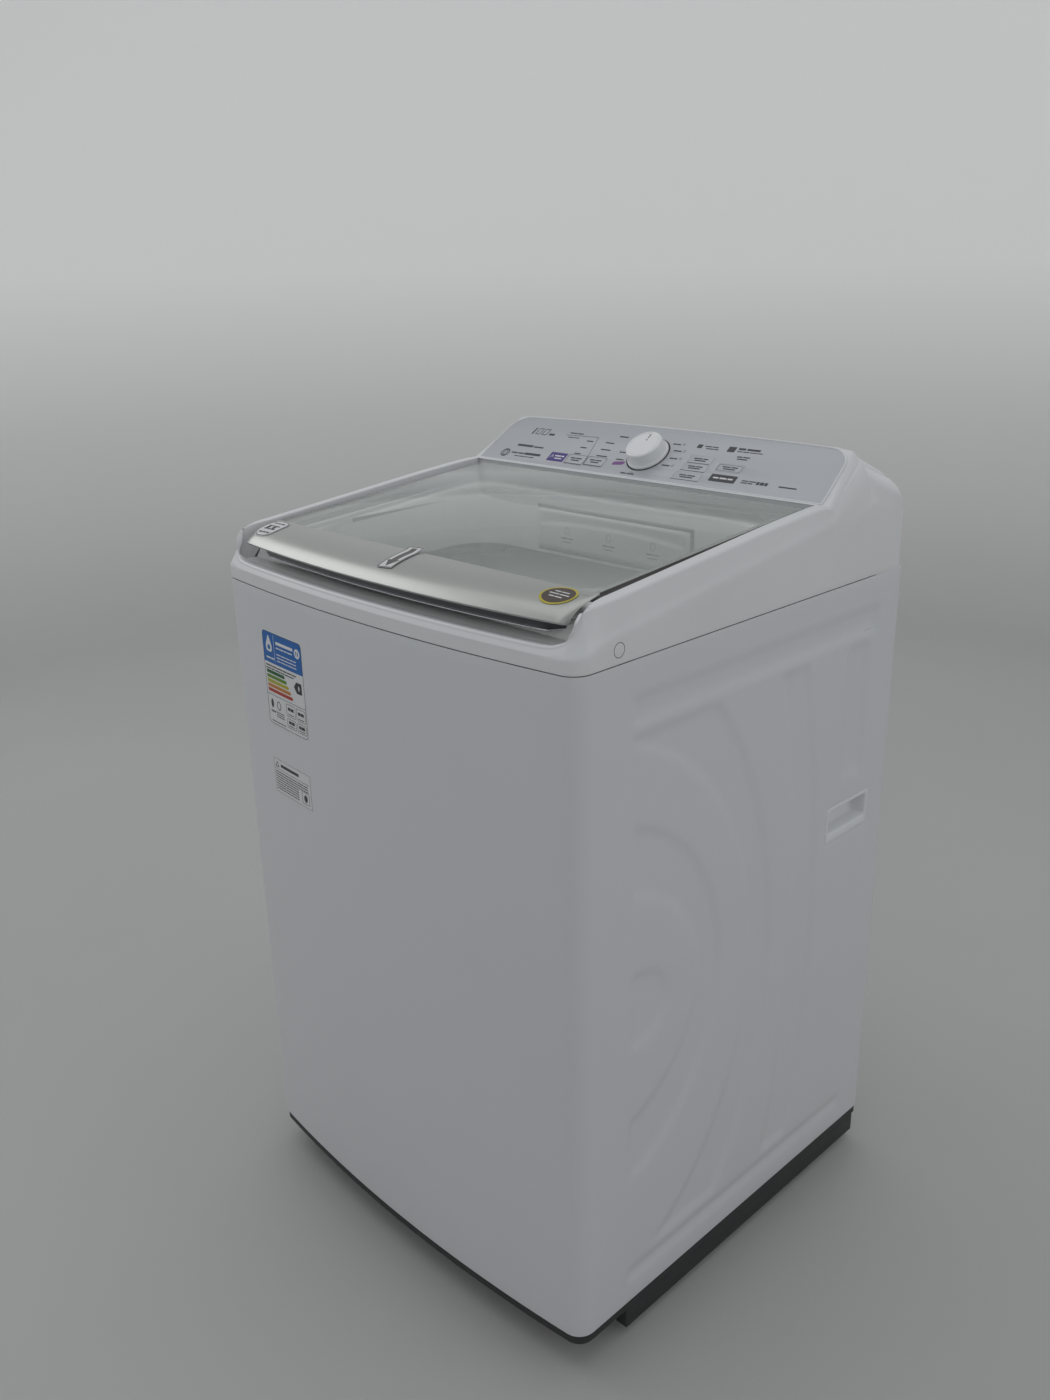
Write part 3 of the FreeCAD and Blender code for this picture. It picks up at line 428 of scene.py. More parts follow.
class Finish:
    """One procedural material and the nodes it is made of."""

    def __init__(self, name):
        self.material = bpy.data.materials.new(name)
        self.material.use_nodes = True
        self.tree = self.material.node_tree
        self.tree.nodes.clear()

    def add(self, kind, settings=None, values=None, output=0):
        """A node of one kind, with its settings and then the values or links of its sockets."""
        node = self.tree.nodes.new(kind)
        for key, value in (settings or {}).items():
            setattr(node, key, value)
        for key, value in (values or {}).items():
            if isinstance(value, Wire):
                self.tree.links.new(value.socket, node.inputs[key])
            else:
                node.inputs[key].default_value = value
        return Wire(self, node.outputs[output]) if node.outputs else None

    def place(self, stretch=(1, 1, 1)):
        """Object coordinates, stretched along each axis."""
        here = self.add("ShaderNodeTexCoord", output="Object")
        return self.add("ShaderNodeMapping", {}, {"Vector": here, "Scale": stretch})

    def noise(self, scale, detail=3.0, stretch=(1, 1, 1)):
        return self.add("ShaderNodeTexNoise", {}, {"Vector": self.place(stretch), "Scale": scale,
                                                   "Detail": detail})

    def cells(self, scale, stretch=(1, 1, 1)):
        return self.add("ShaderNodeTexVoronoi", {}, {"Vector": self.place(stretch), "Scale": scale})

    def mix(self, share, first, second):
        """A colour between two colours."""
        return self.add("ShaderNodeMix", {"data_type": "RGBA"}, {0: share, 6: first, 7: second}, output=2)

    def bump(self, height, distance, strength=1.0):
        return self.add("ShaderNodeBump", {}, {"Height": height, "Distance": distance, "Strength": strength})

    def principled(self, colour, roughness, bump=None, **fixed):
        values = {"Base Color": colour, "Roughness": roughness}
        if bump:
            values["Normal"] = bump
        values.update({key.replace("_", " "): value for key, value in fixed.items()})
        return self.add("ShaderNodeBsdfPrincipled", {}, values)

    def done(self, surface):
        self.add("ShaderNodeOutputMaterial", {}, {"Surface": surface})
        return self.material


def tone(red, green, blue):
    return (red, green, blue, 1.0)


def shade_of(colour, amount):
    return tone(*[min(1.0, channel * amount) for channel in colour[:3]])


def moulded(name, colour, roughness, grain=1400, depth=0.00003, mottle=0.04, coat=0.0):
    """Moulded plastic: a fine grain, slight clouding and a gloss that varies a little."""
    finish = Finish(name)
    cloud = finish.noise(9, 4)
    fine = finish.noise(grain, 2)
    base = finish.mix(cloud, shade_of(colour, 1 - mottle), shade_of(colour, 1 + mottle))
    gloss = roughness - 0.04 + cloud * 0.08
    surface = finish.principled(base, gloss, finish.bump(fine, depth), Coat_Weight=coat,
                                Coat_Roughness=0.12)
    return finish.done(surface)


def enamel(name, colour, roughness):
    """Baked enamel on pressed steel: a faint orange peel under a clear gloss."""
    finish = Finish(name)
    peel = finish.noise(520, 2)
    wave = finish.noise(3.2, 3)
    scuff = finish.noise(60, 6, (1, 1, 0.25))
    base = finish.mix(wave, shade_of(colour, 0.975), shade_of(colour, 1.02))
    gloss = roughness - 0.05 + scuff * 0.08 + wave * 0.03
    surface = finish.principled(base, gloss, finish.bump(peel, 0.00004), Coat_Weight=0.35,
                                Coat_Roughness=0.18)
    return finish.done(surface)


def metal(name, colour, roughness, stretch=(1, 1, 1), scale=300, depth=0.00002, stain=0.12):
    """Bare metal with a drawn or cast texture and light staining."""
    finish = Finish(name)
    drawn = finish.noise(scale, 5, stretch)
    patch = finish.noise(14, 5)
    base = finish.mix(patch, shade_of(colour, 1 - stain), shade_of(colour, 1 + stain / 2))
    gloss = roughness - 0.08 + drawn * 0.12 + patch * 0.06
    surface = finish.principled(base, gloss, finish.bump(drawn, depth), Metallic=1.0)
    return finish.done(surface)


def zinc(name):
    """Zinc plate with its crystal spangle."""
    finish = Finish(name)
    spangle = finish.cells(110)
    patch = finish.noise(30, 4)
    base = finish.mix(spangle, tone(0.60, 0.62, 0.64), tone(0.70, 0.72, 0.74))
    gloss = 0.30 + spangle * 0.14 + patch * 0.08
    surface = finish.principled(base, gloss, finish.bump(patch, 0.00002), Metallic=0.9)
    return finish.done(surface)


def silver_paint(name, colour, roughness, metallic):
    """Satin silver paint with fine metal flake."""
    finish = Finish(name)
    flake = finish.cells(2600)
    cloud = finish.noise(6, 3)
    base = finish.mix(flake, shade_of(colour, 0.94), shade_of(colour, 1.05))
    gloss = roughness - 0.03 + cloud * 0.06
    surface = finish.principled(base, gloss, finish.bump(flake, 0.000006), Metallic=metallic,
                                Coat_Weight=0.25, Coat_Roughness=0.25)
    return finish.done(surface)


def rubber(name, colour):
    finish = Finish(name)
    bloom = finish.noise(40, 6)
    grit = finish.noise(1900, 3)
    base = finish.mix(bloom, shade_of(colour, 0.7), shade_of(colour, 1.5))
    surface = finish.principled(base, 0.62 + bloom * 0.2, finish.bump(grit, 0.00006))
    return finish.done(surface)


def ink(name, colour, roughness=0.42):
    """Printed ink with a slight unevenness in its cover."""
    finish = Finish(name)
    cover = finish.noise(900, 3)
    base = finish.mix(cover, shade_of(colour, 0.9), shade_of(colour, 1.08))
    return finish.done(finish.principled(base, roughness - 0.05 + cover * 0.1))


def tempered_glass(name):
    """Clear glass that stays see-through: tinted where looked through, glossy where it turns away."""
    finish = Finish(name)
    smear = finish.noise(22, 5)
    through = finish.add("ShaderNodeBsdfTransparent", {}, {"Color": tone(0.958, 0.968, 0.962)})
    gloss = finish.add("ShaderNodeBsdfPrincipled", {}, {
        "Base Color": tone(0.86, 0.90, 0.87), "Roughness": 0.02 + smear * 0.05, "Metallic": 0.0})
    facing = finish.add("ShaderNodeLayerWeight", {}, {"Blend": 0.5}, output="Facing")
    share = facing ** 5 * 0.80 + 0.085
    return finish.done(finish.add("ShaderNodeMixShader", {}, {0: share, 1: through, 2: gloss}))


def board(name):
    """A coated circuit board with its copper tracks showing through."""
    finish = Finish(name)
    tracks = finish.add("ShaderNodeTexBrick", {}, {
        "Vector": finish.place(), "Scale": 260.0, "Mortar Size": 0.06,
        "Color1": tone(0.02, 0.16, 0.06), "Color2": tone(0.03, 0.20, 0.08), "Mortar": tone(0.10, 0.32, 0.12)})
    grit = finish.noise(700, 2)
    return finish.done(finish.principled(tracks, 0.30 + grit * 0.1, finish.bump(grit, 0.00002)))


ENAMEL = enamel("cabinet_enamel_finish", tone(0.705, 0.715, 0.75), 0.34)
# A lighter copy of the cover's white: painted light that brightens the shaded recess and well under the
# glass.
LIGHTENED_WELL_WHITE = moulded("lightened_well_white_finish", tone(0.93, 0.94, 0.93), 0.40, grain=1600)
COVER_WHITE = moulded("cover_white_finish", tone(0.775, 0.785, 0.81), 0.34, grain=1600, coat=0.15)
FASCIA_SILVER = silver_paint("fascia_silver_finish", tone(0.52, 0.54, 0.57), 0.42, 0.25)
KEY_SILVER = silver_paint("key_silver_finish", tone(0.52, 0.54, 0.57), 0.42, 0.25)
DIAL_WHITE = moulded("dial_white_finish", tone(0.84, 0.85, 0.87), 0.22, grain=2200, depth=0.00001, coat=0.5)
DRAWER_WHITE = moulded("drawer_white_finish", tone(0.79, 0.81, 0.82), 0.30, coat=0.2)
BASE_BLACK = moulded("base_black_finish", tone(0.030, 0.031, 0.032), 0.55, grain=900, depth=0.00012,
                     mottle=0.2)
FOOT_RUBBER = rubber("foot_rubber_finish", tone(0.025, 0.025, 0.026))
HOSE_RUBBER = rubber("hose_rubber_finish", tone(0.05, 0.05, 0.055))
BELT_RUBBER = rubber("belt_rubber_finish", tone(0.02, 0.02, 0.02))
GLASS = tempered_glass("lid_glass_finish")
LID_SILVER = silver_paint("lid_silver_finish", tone(0.50, 0.51, 0.49), 0.31, 0.74)
LID_GREY = moulded("lid_grey_finish", tone(0.045, 0.047, 0.052), 0.28, coat=0.4, mottle=0.1)
FRAME_GREY = moulded("frame_grey_finish", tone(0.20, 0.215, 0.215), 0.45, mottle=0.08)
BRIGHT_TRIM = metal("bright_trim_finish", tone(0.82, 0.84, 0.88), 0.16, (1, 30, 30), 40, 0.000004, 0.04)
TUB_PLASTIC = moulded("tub_plastic_finish", tone(0.56, 0.57, 0.57), 0.50, grain=500, depth=0.00008)
RING_GREY = moulded("ring_grey_finish", tone(0.055, 0.060, 0.053), 0.42, grain=900, mottle=0.06)
BASKET_STEEL = metal("basket_steel_finish", tone(0.62, 0.63, 0.64), 0.30, (1, 1, 40), 60)
CAST_ALLOY = metal("cast_alloy_finish", tone(0.52, 0.52, 0.52), 0.55, scale=260, depth=0.00025)
ZINC = zinc("zinc_steel_finish")
SPRING_STEEL = metal("spring_steel_finish", tone(0.45, 0.46, 0.48), 0.35, scale=500)
AGITATOR_WHITE = moulded("agitator_white_finish", tone(0.70, 0.72, 0.75), 0.32, coat=0.25)
MOTOR_PAINT = enamel("motor_paint_finish", tone(0.05, 0.05, 0.055), 0.40)
WORKS_PLASTIC = moulded("works_plastic_finish", tone(0.66, 0.66, 0.63), 0.50, grain=700, depth=0.00006)
BOARD_GREEN = board("board_green_finish")
INK_GREY = ink("grey_ink", tone(0.055, 0.057, 0.065))
INK_BLACK = ink("black_ink", tone(0.03, 0.03, 0.035))
INK_VIOLET = ink("violet_ink", tone(0.075, 0.05, 0.26))
INK_MAUVE = ink("mauve_ink", tone(0.23, 0.09, 0.30))
INK_BLUE = ink("blue_ink", tone(0.004, 0.13, 0.46))
INK_WHITE = ink("white_ink", tone(0.80, 0.81, 0.83))
INK_BROWN = ink("brown_ink", tone(0.075, 0.050, 0.042))
INK_YELLOW = ink("yellow_ink", tone(0.55, 0.48, 0.04))
# Taupe ink for print, also used for the dark strip on the glass's side edges, which is partly painted shadow
# of the gap there.
TAUPE_INK_AND_GAP_SHADE = ink("taupe_ink_and_gap_shade", tone(0.12, 0.11, 0.105))
LABEL_PAPER = ink("label_paper", tone(0.76, 0.77, 0.79), 0.36)
BAND_GREY = ink("glass_band_ink", tone(0.20, 0.225, 0.23), 0.30)
SEAM_SHADOW = ink("seam_shadow", tone(0.06, 0.06, 0.065), 0.7)
RATING_INKS = [ink(f"rating_ink_{number}", colour) for number, colour in enumerate((
    tone(0.01, 0.12, 0.03), tone(0.12, 0.26, 0.02), tone(0.46, 0.42, 0.02), tone(0.56, 0.22, 0.02),
    tone(0.46, 0.045, 0.025)))]


# ---- Geometry node trees ----

def node_tree(name, inputs):
    """An empty geometry tree with a mesh socket each way and named number inputs."""
    tree = bpy.data.node_groups.new(name, "GeometryNodeTree")
    tree.interface.new_socket("Geometry", in_out="INPUT", socket_type="NodeSocketGeometry")
    tree.interface.new_socket("Geometry", in_out="OUTPUT", socket_type="NodeSocketGeometry")
    for label, kind in inputs.items():
        tree.interface.new_socket(label, in_out="INPUT", socket_type=f"NodeSocket{kind}")
    return tree, tree.nodes.new("NodeGroupInput"), tree.nodes.new("NodeGroupOutput")


def tree_node(tree, kind, settings=None, links=None):
    node = tree.nodes.new(kind)
    for key, value in (settings or {}).items():
        setattr(node, key, value)
    for key, value in (links or {}).items():
        if hasattr(value, "is_output"):
            tree.links.new(value, node.inputs[key])
        else:
            node.inputs[key].default_value = value
    return node


def tree_maths(tree, operation, *values):
    """The result of a Math node on sockets or numbers."""
    return tree_node(tree, "ShaderNodeMath", {"operation": operation}, dict(enumerate(values))).outputs[0]


def tree_vector(tree, x=0.0, y=0.0, z=0.0):
    return tree_node(tree, "ShaderNodeCombineXYZ", {}, {0: x, 1: y, 2: z}).outputs[0]


def tree_place(tree):
    """The three parts of each point's position."""
    place = tree_node(tree, "GeometryNodeInputPosition")
    return tree_node(tree, "ShaderNodeSeparateXYZ", {}, {0: place.outputs[0]}).outputs


def tree_result(tree, geometry, finish, result):
    """Ends a tree with real faces in one finish."""
    solid = tree_node(tree, "GeometryNodeRealizeInstances", {}, {0: geometry})
    painted = tree_node(tree, "GeometryNodeSetMaterial", {}, {"Geometry": solid.outputs[0],
                                                              "Material": finish})
    tree.links.new(painted.outputs[0], result.inputs[0])
    return tree


def grown(name, tree, values, seed_shape=None):
    """The plain shape that a geometry tree makes with these input values."""
    mesh = bpy.data.meshes.new(name)
    if seed_shape:
        mesh.from_pydata([p * MM for p in seed_shape.points], [], seed_shape.faces)
    obj = bpy.data.objects.new(name, mesh)
    bpy.context.scene.collection.objects.link(obj)
    modifier = obj.modifiers.new(name, "NODES")
    modifier.node_group = tree
    for item in tree.interface.items_tree:
        if item.item_type == "SOCKET" and item.in_out == "INPUT" and item.name in values:
            modifier[item.identifier] = values[item.name]
    depsgraph = bpy.context.evaluated_depsgraph_get()
    result = bpy.data.meshes.new_from_object(obj.evaluated_get(depsgraph))
    shape = Shape([v.co / MM for v in result.vertices], [tuple(p.vertices) for p in result.polygons])
    bpy.data.objects.remove(obj)
    bpy.data.meshes.remove(result)
    return shape


def helper(name, shape):
    """A hidden object that a tree copies, in metres."""
    mesh = bpy.data.meshes.new(name)
    mesh.from_pydata([p * MM for p in shape.points], [], shape.faces)
    return bpy.data.objects.new(name, mesh)


def ring_tree(finish):
    """Copies of one object round an upright axis, each turned to face outwards."""
    tree, given, result = node_tree("parts_in_a_ring", {
        "Part": "Object", "Count": "Int", "Radius": "Float", "Level": "Float"})
    circle = tree_node(tree, "GeometryNodeMeshCircle", {}, {
        "Vertices": given.outputs["Count"], "Radius": given.outputs["Radius"]})
    x, y, _ = tree_place(tree)
    info = tree_node(tree, "GeometryNodeObjectInfo", {}, {"Object": given.outputs["Part"]})
    copies = tree_node(tree, "GeometryNodeInstanceOnPoints", {}, {
        "Points": circle.outputs[0], "Instance": info.outputs["Geometry"],
        "Rotation": tree_vector(tree, z=tree_maths(tree, "ARCTAN2", y, x))})
    solid = tree_node(tree, "GeometryNodeRealizeInstances", {}, {0: copies.outputs[0]})
    moved = tree_node(tree, "GeometryNodeTransform", {}, {
        "Geometry": solid.outputs[0], "Translation": tree_vector(tree, z=given.outputs["Level"])})
    return tree_result(tree, moved.outputs[0], finish, result)


def spots_tree(finish):
    """Copies of one object at every point of the seed mesh."""
    tree, given, result = node_tree("parts_at_spots", {"Part": "Object"})
    info = tree_node(tree, "GeometryNodeObjectInfo", {}, {"Object": given.outputs["Part"]})
    points = tree_node(tree, "GeometryNodeMeshToPoints", {}, {"Mesh": given.outputs["Geometry"]})
    copies = tree_node(tree, "GeometryNodeInstanceOnPoints", {}, {
        "Points": points.outputs[0], "Instance": info.outputs["Geometry"]})
    return tree_result(tree, copies.outputs[0], finish, result)


def drum_tree(finish):
    """A perforated drum wall: pierced cells in a grid, rolled into a cylinder."""
    tree, given, result = node_tree("pierced_drum", {
        "Cell": "Object", "Columns": "Int", "Rows": "Int", "Radius": "Float", "Base": "Float",
        "Height": "Float"})
    columns, rows = given.outputs["Columns"], given.outputs["Rows"]
    radius, height = given.outputs["Radius"], given.outputs["Height"]
    around = tree_maths(tree, "MULTIPLY", radius, 2 * math.pi)
    grid = tree_node(tree, "GeometryNodeMeshGrid", {}, {
        "Size X": around, "Size Y": height, "Vertices X": columns, "Vertices Y": rows})
    cell_size = tree_vector(tree, tree_maths(tree, "DIVIDE", around, columns),
                            tree_maths(tree, "DIVIDE", height, rows), 1.0)
    shares = [tree_maths(tree, "DIVIDE", tree_maths(tree, "SUBTRACT", number, 1.0), number)
              for number in (columns, rows)]
    spread = tree_node(tree, "GeometryNodeTransform", {}, {
        "Geometry": grid.outputs[0], "Scale": tree_vector(tree, *shares, 1.0)})
    info = tree_node(tree, "GeometryNodeObjectInfo", {}, {"Object": given.outputs["Cell"]})
    copies = tree_node(tree, "GeometryNodeInstanceOnPoints", {}, {
        "Points": spread.outputs[0], "Instance": info.outputs["Geometry"], "Scale": cell_size})
    flat = tree_node(tree, "GeometryNodeRealizeInstances", {}, {0: copies.outputs[0]})
    along, up, out = tree_place(tree)
    angle = tree_maths(tree, "DIVIDE", along, radius)
    reach = tree_maths(tree, "ADD", radius, out)
    middle = tree_maths(tree, "MULTIPLY_ADD", height, 0.5, given.outputs["Base"])
    rolled = tree_vector(tree, tree_maths(tree, "MULTIPLY", tree_maths(tree, "COSINE", angle), reach),
                         tree_maths(tree, "MULTIPLY", tree_maths(tree, "SINE", angle), reach),
                         tree_maths(tree, "ADD", up, middle))
    wall = tree_node(tree, "GeometryNodeSetPosition", {}, {"Geometry": flat.outputs[0], "Position": rolled})
    merged = tree_node(tree, "GeometryNodeMergeByDistance", {}, {"Geometry": wall.outputs[0],
                                                                 "Distance": 0.1 * MM})
    return tree_result(tree, merged.outputs[0], finish, result)


def shading_tree():
    """Smooth shading in place of the facets that a carried-over mesh comes with."""
    tree, given, result = node_tree("smooth_shading", {})
    plain = tree_node(tree, "GeometryNodeRemoveAttribute", {}, {
        "Geometry": given.outputs["Geometry"], "Name": "custom_normal"})
    smooth = tree_node(tree, "GeometryNodeSetShadeSmooth", {}, {"Geometry": plain.outputs[0]})
    tree.links.new(smooth.outputs[0], result.inputs[0])
    return tree


SMOOTH_SHADING = shading_tree()
EDGE_RADIUS = 0.35                          # how far a carried-over node's edges are softened
SHARP_FROM = 38                             # degrees, above which its edges stay crisp


def dress(node, finish, soften=EDGE_RADIUS):
    """Gives a carried-over node its finish and softens its edges; its own mesh is left alone."""
    obj = frame["nodes"][node]
    for slot in obj.material_slots:
        slot.material = finish
    obj.modifiers.new("smooth shading", "NODES").node_group = SMOOTH_SHADING
    obj.modifiers.new("weld", "WELD").merge_threshold = 0.005 * MM
    bevel = obj.modifiers.new("soft edges", "BEVEL")
    bevel.width = soften * MM
    bevel.segments = 2
    bevel.limit_method = "ANGLE"
    bevel.angle_limit = math.radians(SHARP_FROM + 2)
    split = obj.modifiers.new("crisp edges", "EDGE_SPLIT")
    split.split_angle = math.radians(SHARP_FROM)


# ---- Cabinet ----

def inside_oval(y, z, centre, radii, soft=10):
    """1 inside an upright oval, 0 outside it, with a soft edge."""
    far = math.hypot((y - centre[0]) / radii[0], (z - centre[1]) / radii[1])
    return blend((1 - far) * min(radii), -soft / 2, soft / 2)


def inside_block(y, z, low, high, soft=9):
    near = min(y - low[0], high[0] - y, z - low[1], high[1] - z)
    return blend(near, -soft / 2, soft / 2)


FIELD = (-289, 455)
EYE = (-270, 478)


def pressing(y, z):
    """How deep the stiffening pattern is pressed into a side at a place."""
    field = inside_block(y, z, (-212, 122), (330, 816))
    groove = inside_oval(y, z, FIELD, (345, 473)) - inside_oval(y, z, FIELD, (303, 366))
    rear = inside_oval(y, z, FIELD, (446, 829)) - inside_oval(y, z, FIELD, (396, 736))
    inner = inside_oval(y, z, EYE, (221, 243)) - inside_oval(y, z, EYE, (180, 160))
    pupil = inside_oval(y, z, (-205, EYE[1]), (58, 47))
    strip = inside_block(y, z, (206, 640), (251, 818))
    bars = inside_block(y, z, (-214, 833), (268, 861)) + inside_block(y, z, (-213, 88), (262, 105))
    hand = inside_block(y, z, (HOLE_LOW.y - 6.5, HOLE_LOW.z - 6.5), (HOLE_HIGH.y + 6.5, HOLE_HIGH.z + 6.5), 2)
    return 3.0 * (field * (groove + rear + inner + pupil + strip) + bars) + 1.3 * hand


HOLE_LOW = CUP_LOW + Vector((0, 4.7, 4.7))
HOLE_HIGH = CUP_HIGH - Vector((0, 4.7, 4.7))


def even_steps(low, high, gap, kept=()):
    """Places from low to high about gap apart, with some places kept exactly."""
    marks = sorted({low, high, *kept})
    places = [low]
    for start, end in zip(marks, marks[1:]):
        count = max(1, round((end - start) / gap))
        places += [start + (end - start) * k / count for k in range(1, count + 1)]
    return places


def front_and_corner(corner_steps=8, front_steps=36):
    """Stations round the right corner and along the front to its middle: (place, outward normal)."""
    end_angle = math.asin(CORNER_X / (BOW_RADIUS - CORNER))
    stations = []
    for k in range(1, corner_steps + 1):
        angle = -(math.pi / 2 - end_angle) * k / corner_steps
        normal = Vector((math.cos(angle), math.sin(angle)))
        stations.append((Vector((CORNER_X, CORNER_Y)) + normal * CORNER, normal))
    for k in range(1, front_steps // 2 + 1):
        angle = end_angle * (1 - 2 * k / front_steps)
        normal = Vector((math.sin(angle), -math.cos(angle)))
        stations.append((Vector((0, BOW_CENTRE)) + normal * BOW_RADIUS, normal))
    return stations


def make_cabinet():
    heights = even_steps(SKIRT, SEAM - 0.3, 6.4, (HOLE_LOW.z, HOLE_HIGH.z))
    depths = even_steps(CORNER_Y, WALL_REAR - 2, 6.4, (HOLE_LOW.y, HOLE_HIGH.y))[::-1]
    return_inner = HALF - 24
    rear_bend = [Vector((return_inner, WALL_REAR)), Vector((HALF - 2, WALL_REAR)),
                 Vector((HALF - 0.6, WALL_REAR - 0.6))]

    def column(place, normal, relief):
        points = []
        for z in heights:
            edge = 0.5 * (1 - blend(z, SKIRT, SKIRT + 3)) + 0.6 * blend(z, SEAM - 2.2, SEAM)
            depth = edge + (relief(place.y, z) if relief else 0)
            points.append(Vector((place.x - normal.x * depth, place.y - normal.y * depth, z)))
        return points
    along_x = Vector((1, 0))
    half_columns = [column(p, Vector((0, 0)), None) for p in rear_bend]
    half_columns += [column(Vector((HALF, y)), along_x, pressing) for y in depths]
    first_side = len(rear_bend)
    half_columns += [column(p, normal, None) for p, normal in front_and_corner()]
    size = len(heights)
    rows_in_hole = [k for k in range(size - 1)
                    if HOLE_LOW.z - 0.01 <= heights[k] and heights[k + 1] <= HOLE_HIGH.z + 0.01]
    columns_in_hole = [k + first_side for k in range(len(depths) - 1)
                       if HOLE_LOW.y - 0.01 <= depths[k + 1] and depths[k] <= HOLE_HIGH.y + 0.01]
    faces = []
    for k in range(len(half_columns) - 1):
        for j in range(size - 1):
            if k in columns_in_hole and j in rows_in_hole:
                continue
            faces.append((k * size + j, (k + 1) * size + j, (k + 1) * size + j + 1, k * size + j + 1))
    right = Shape([p for points in half_columns for p in points], faces)
    piece("cabinet_shell", join(right, mirrored(right)), ENAMEL, "root", ("cabinet",),
          (1, 0, 0), 50, 1.2)


def make_hand_cups():
    """A moulded pocket with a raised lip in each side."""
    lip = 5
    depth = 30
    for name, sign in (("left", -1), ("right", 1)):
        rings = []

        def pocket_ring(reach):
            sill = 7 if reach > 4.3 else 0
            return block_outline(HOLE_LOW.y - lip + reach, HOLE_LOW.z - lip + reach + sill,
                                 HOLE_HIGH.y + lip - reach, HOLE_HIGH.z + lip - reach, 3.5)

        def pocket_point(p, out, sign=sign):
            rise = (p.y - HOLE_LOW.z) / (HOLE_HIGH.z - HOLE_LOW.z)
            shelf = 1 - 0.62 * (1 - min(1.0, max(0.0, rise)))
            return Vector((sign * (HALF + (out if out > -4 else out * shelf)), p.x, p.y))
        for reach, out in ((0, -1.5), (0, -0.5), (0.6, -0.1), (4.2, -0.1), (5.2, -0.6), (6.2, -2), (7.0, -8),
                           (9.0, -depth + 3), (12, -depth)):
            rings.append([pocket_point(p, out) for p in pocket_ring(reach)])
        shape = loft(rings)
        back = sheet_faces([pocket_ring(12)], 0)
        shape.add(Shape([pocket_point(p, -depth) for p in back.points], back.faces))
        piece(f"{name}_hand_pocket", shape, COVER_WHITE, "root", (f"{name}_handle_cup",),
              (sign, 0, 0), 60, 1.4)


# ---- Moulded top cover ----

CREASE_FRONT = 921
SHOULDER_LOW, SHOULDER_HIGH, SHOULDER_REACH = 1037, 1056.6, 32      # the console's rounded upper ends
SHELL_INSET = 0.25                          # keeps the round plugs a hair proud of the cover's wall
RIM_HEIGHTS = [(-60, 929.5), (-30, 931), (-15, 937), (0, 952), (12, 960), (24, 966), (40, 970), (70, 973),
               (205, 987), (320, 999), (400, 1006), (432, 1008)]


def path_place(point):
    """Distance along the rim from the middle of the front corner; the side is positive."""
    quarter = CORNER * math.pi / 4
    if point.y > CORNER_Y:
        return point.y - CORNER_Y + quarter
    if point.x > CORNER_X:
        angle = math.atan2(CORNER_Y - point.y, point.x - CORNER_X)
        return quarter - angle * CORNER
    return -quarter - (CORNER_X - point.x)


def rim_height(place):
    return curve_through(RIM_HEIGHTS, place)


def crease_height(place):
    return CREASE_FRONT + 82 * max(0.0, place) / 600


def lean_in(place, z):
    """How far the cover's outer wall has leaned in at a height."""
    over = max(0.0, z - crease_height(place))
    front = 1 - blend(place, -30, 50)
    side_lean = 0.16 * over * blend(over, 0, 14) * (1 - front)
    return side_lean + 0.72 * over * front


def shoulder(z, low, high, reach):
    """How far a rounded shoulder between two heights has turned in at z."""
    turn = min(1.0, max(0.0, z - low) / (high - low))
    return reach * (1 - math.sqrt(1 - turn ** 2))


def floor_level(depth):
    """The height of the recess under the lid at a depth."""
    return straight_through(((-262, 926), (-248, 951), (-231, 952), (137, 983)), depth)


def straight_through(points, value):
    """The height at value along straight runs through (place, height) points."""
    if value <= points[0][0]:
        return points[0][1]
    for (start, low), (end, high) in zip(points, points[1:]):
        if value <= end:
            return low + (high - low) * (value - start) / (end - start)
    return points[-1][1]


PANEL_RISE = -1.0
CREST_HALF = 290
CREST_ARCH = 6                              # how far the crest falls back along the panel at its ends


def arched(p):
    """Lets the console's crest fall a little towards its two ends."""
    station = (p - PANEL_FOOT).dot(UP_PANEL)
    fall = CREST_ARCH * (p.x / CREST_HALF) ** 2 * blend(station, 20, 104) * blend(p.y, 150, 200)
    return p - UP_PANEL * fall


LIP_Y = 141.4
FOOT = on_panel(0, 0.4, PANEL_RISE)
CREST = on_panel(0, 105.5, PANEL_RISE)
SILHOUETTE = [(138, 1008, 0), (FOOT.y, FOOT.z, 5), (CREST.y, CREST.z, 16), (250, 1062, 40), (302, 1029.5, 40),
              (315, 1016, 12), (WALL_REAR, 998, 10), (WALL_REAR, 975, 0)]


def wall_column(place, normal, top, radius, rows, path, tilt=(0.0, 1.0), reach=0.0):
    """One column of the cover's outer wall, from the seam up and over its rounded top edge."""
    shift = -radius * tilt[0]
    wall_top = top - radius * tilt[1]
    points = []
    seam = SEAM + 0.5
    for z, back in ((seam, 0.9), (seam + 0.4, 0.25), (seam + 1.3, 0.0)):
        points.append((z, back, shift))
    start = seam + 1.3
    for k in range(1, rows + 1):
        z = start + (wall_top - start) * (1 - (1 - k / rows) ** 1.6)
        points.append((z, lean_in(path, z) + shoulder(z, wall_top - 20, wall_top, reach), shift))
    base_lean = lean_in(path, wall_top) + reach
    for step in range(1, 8):
        angle = math.pi / 2 * step / 7
        down = radius * (1 - math.sin(angle))
        back = base_lean + radius * (1 - math.cos(angle))
        points.append((top - down * tilt[1], back, -down * tilt[0]))
    return [Vector((place.x - normal.x * (back + SHELL_INSET), place.y - normal.y * (back + SHELL_INSET)
                    + along, z)) for z, back, along in points]


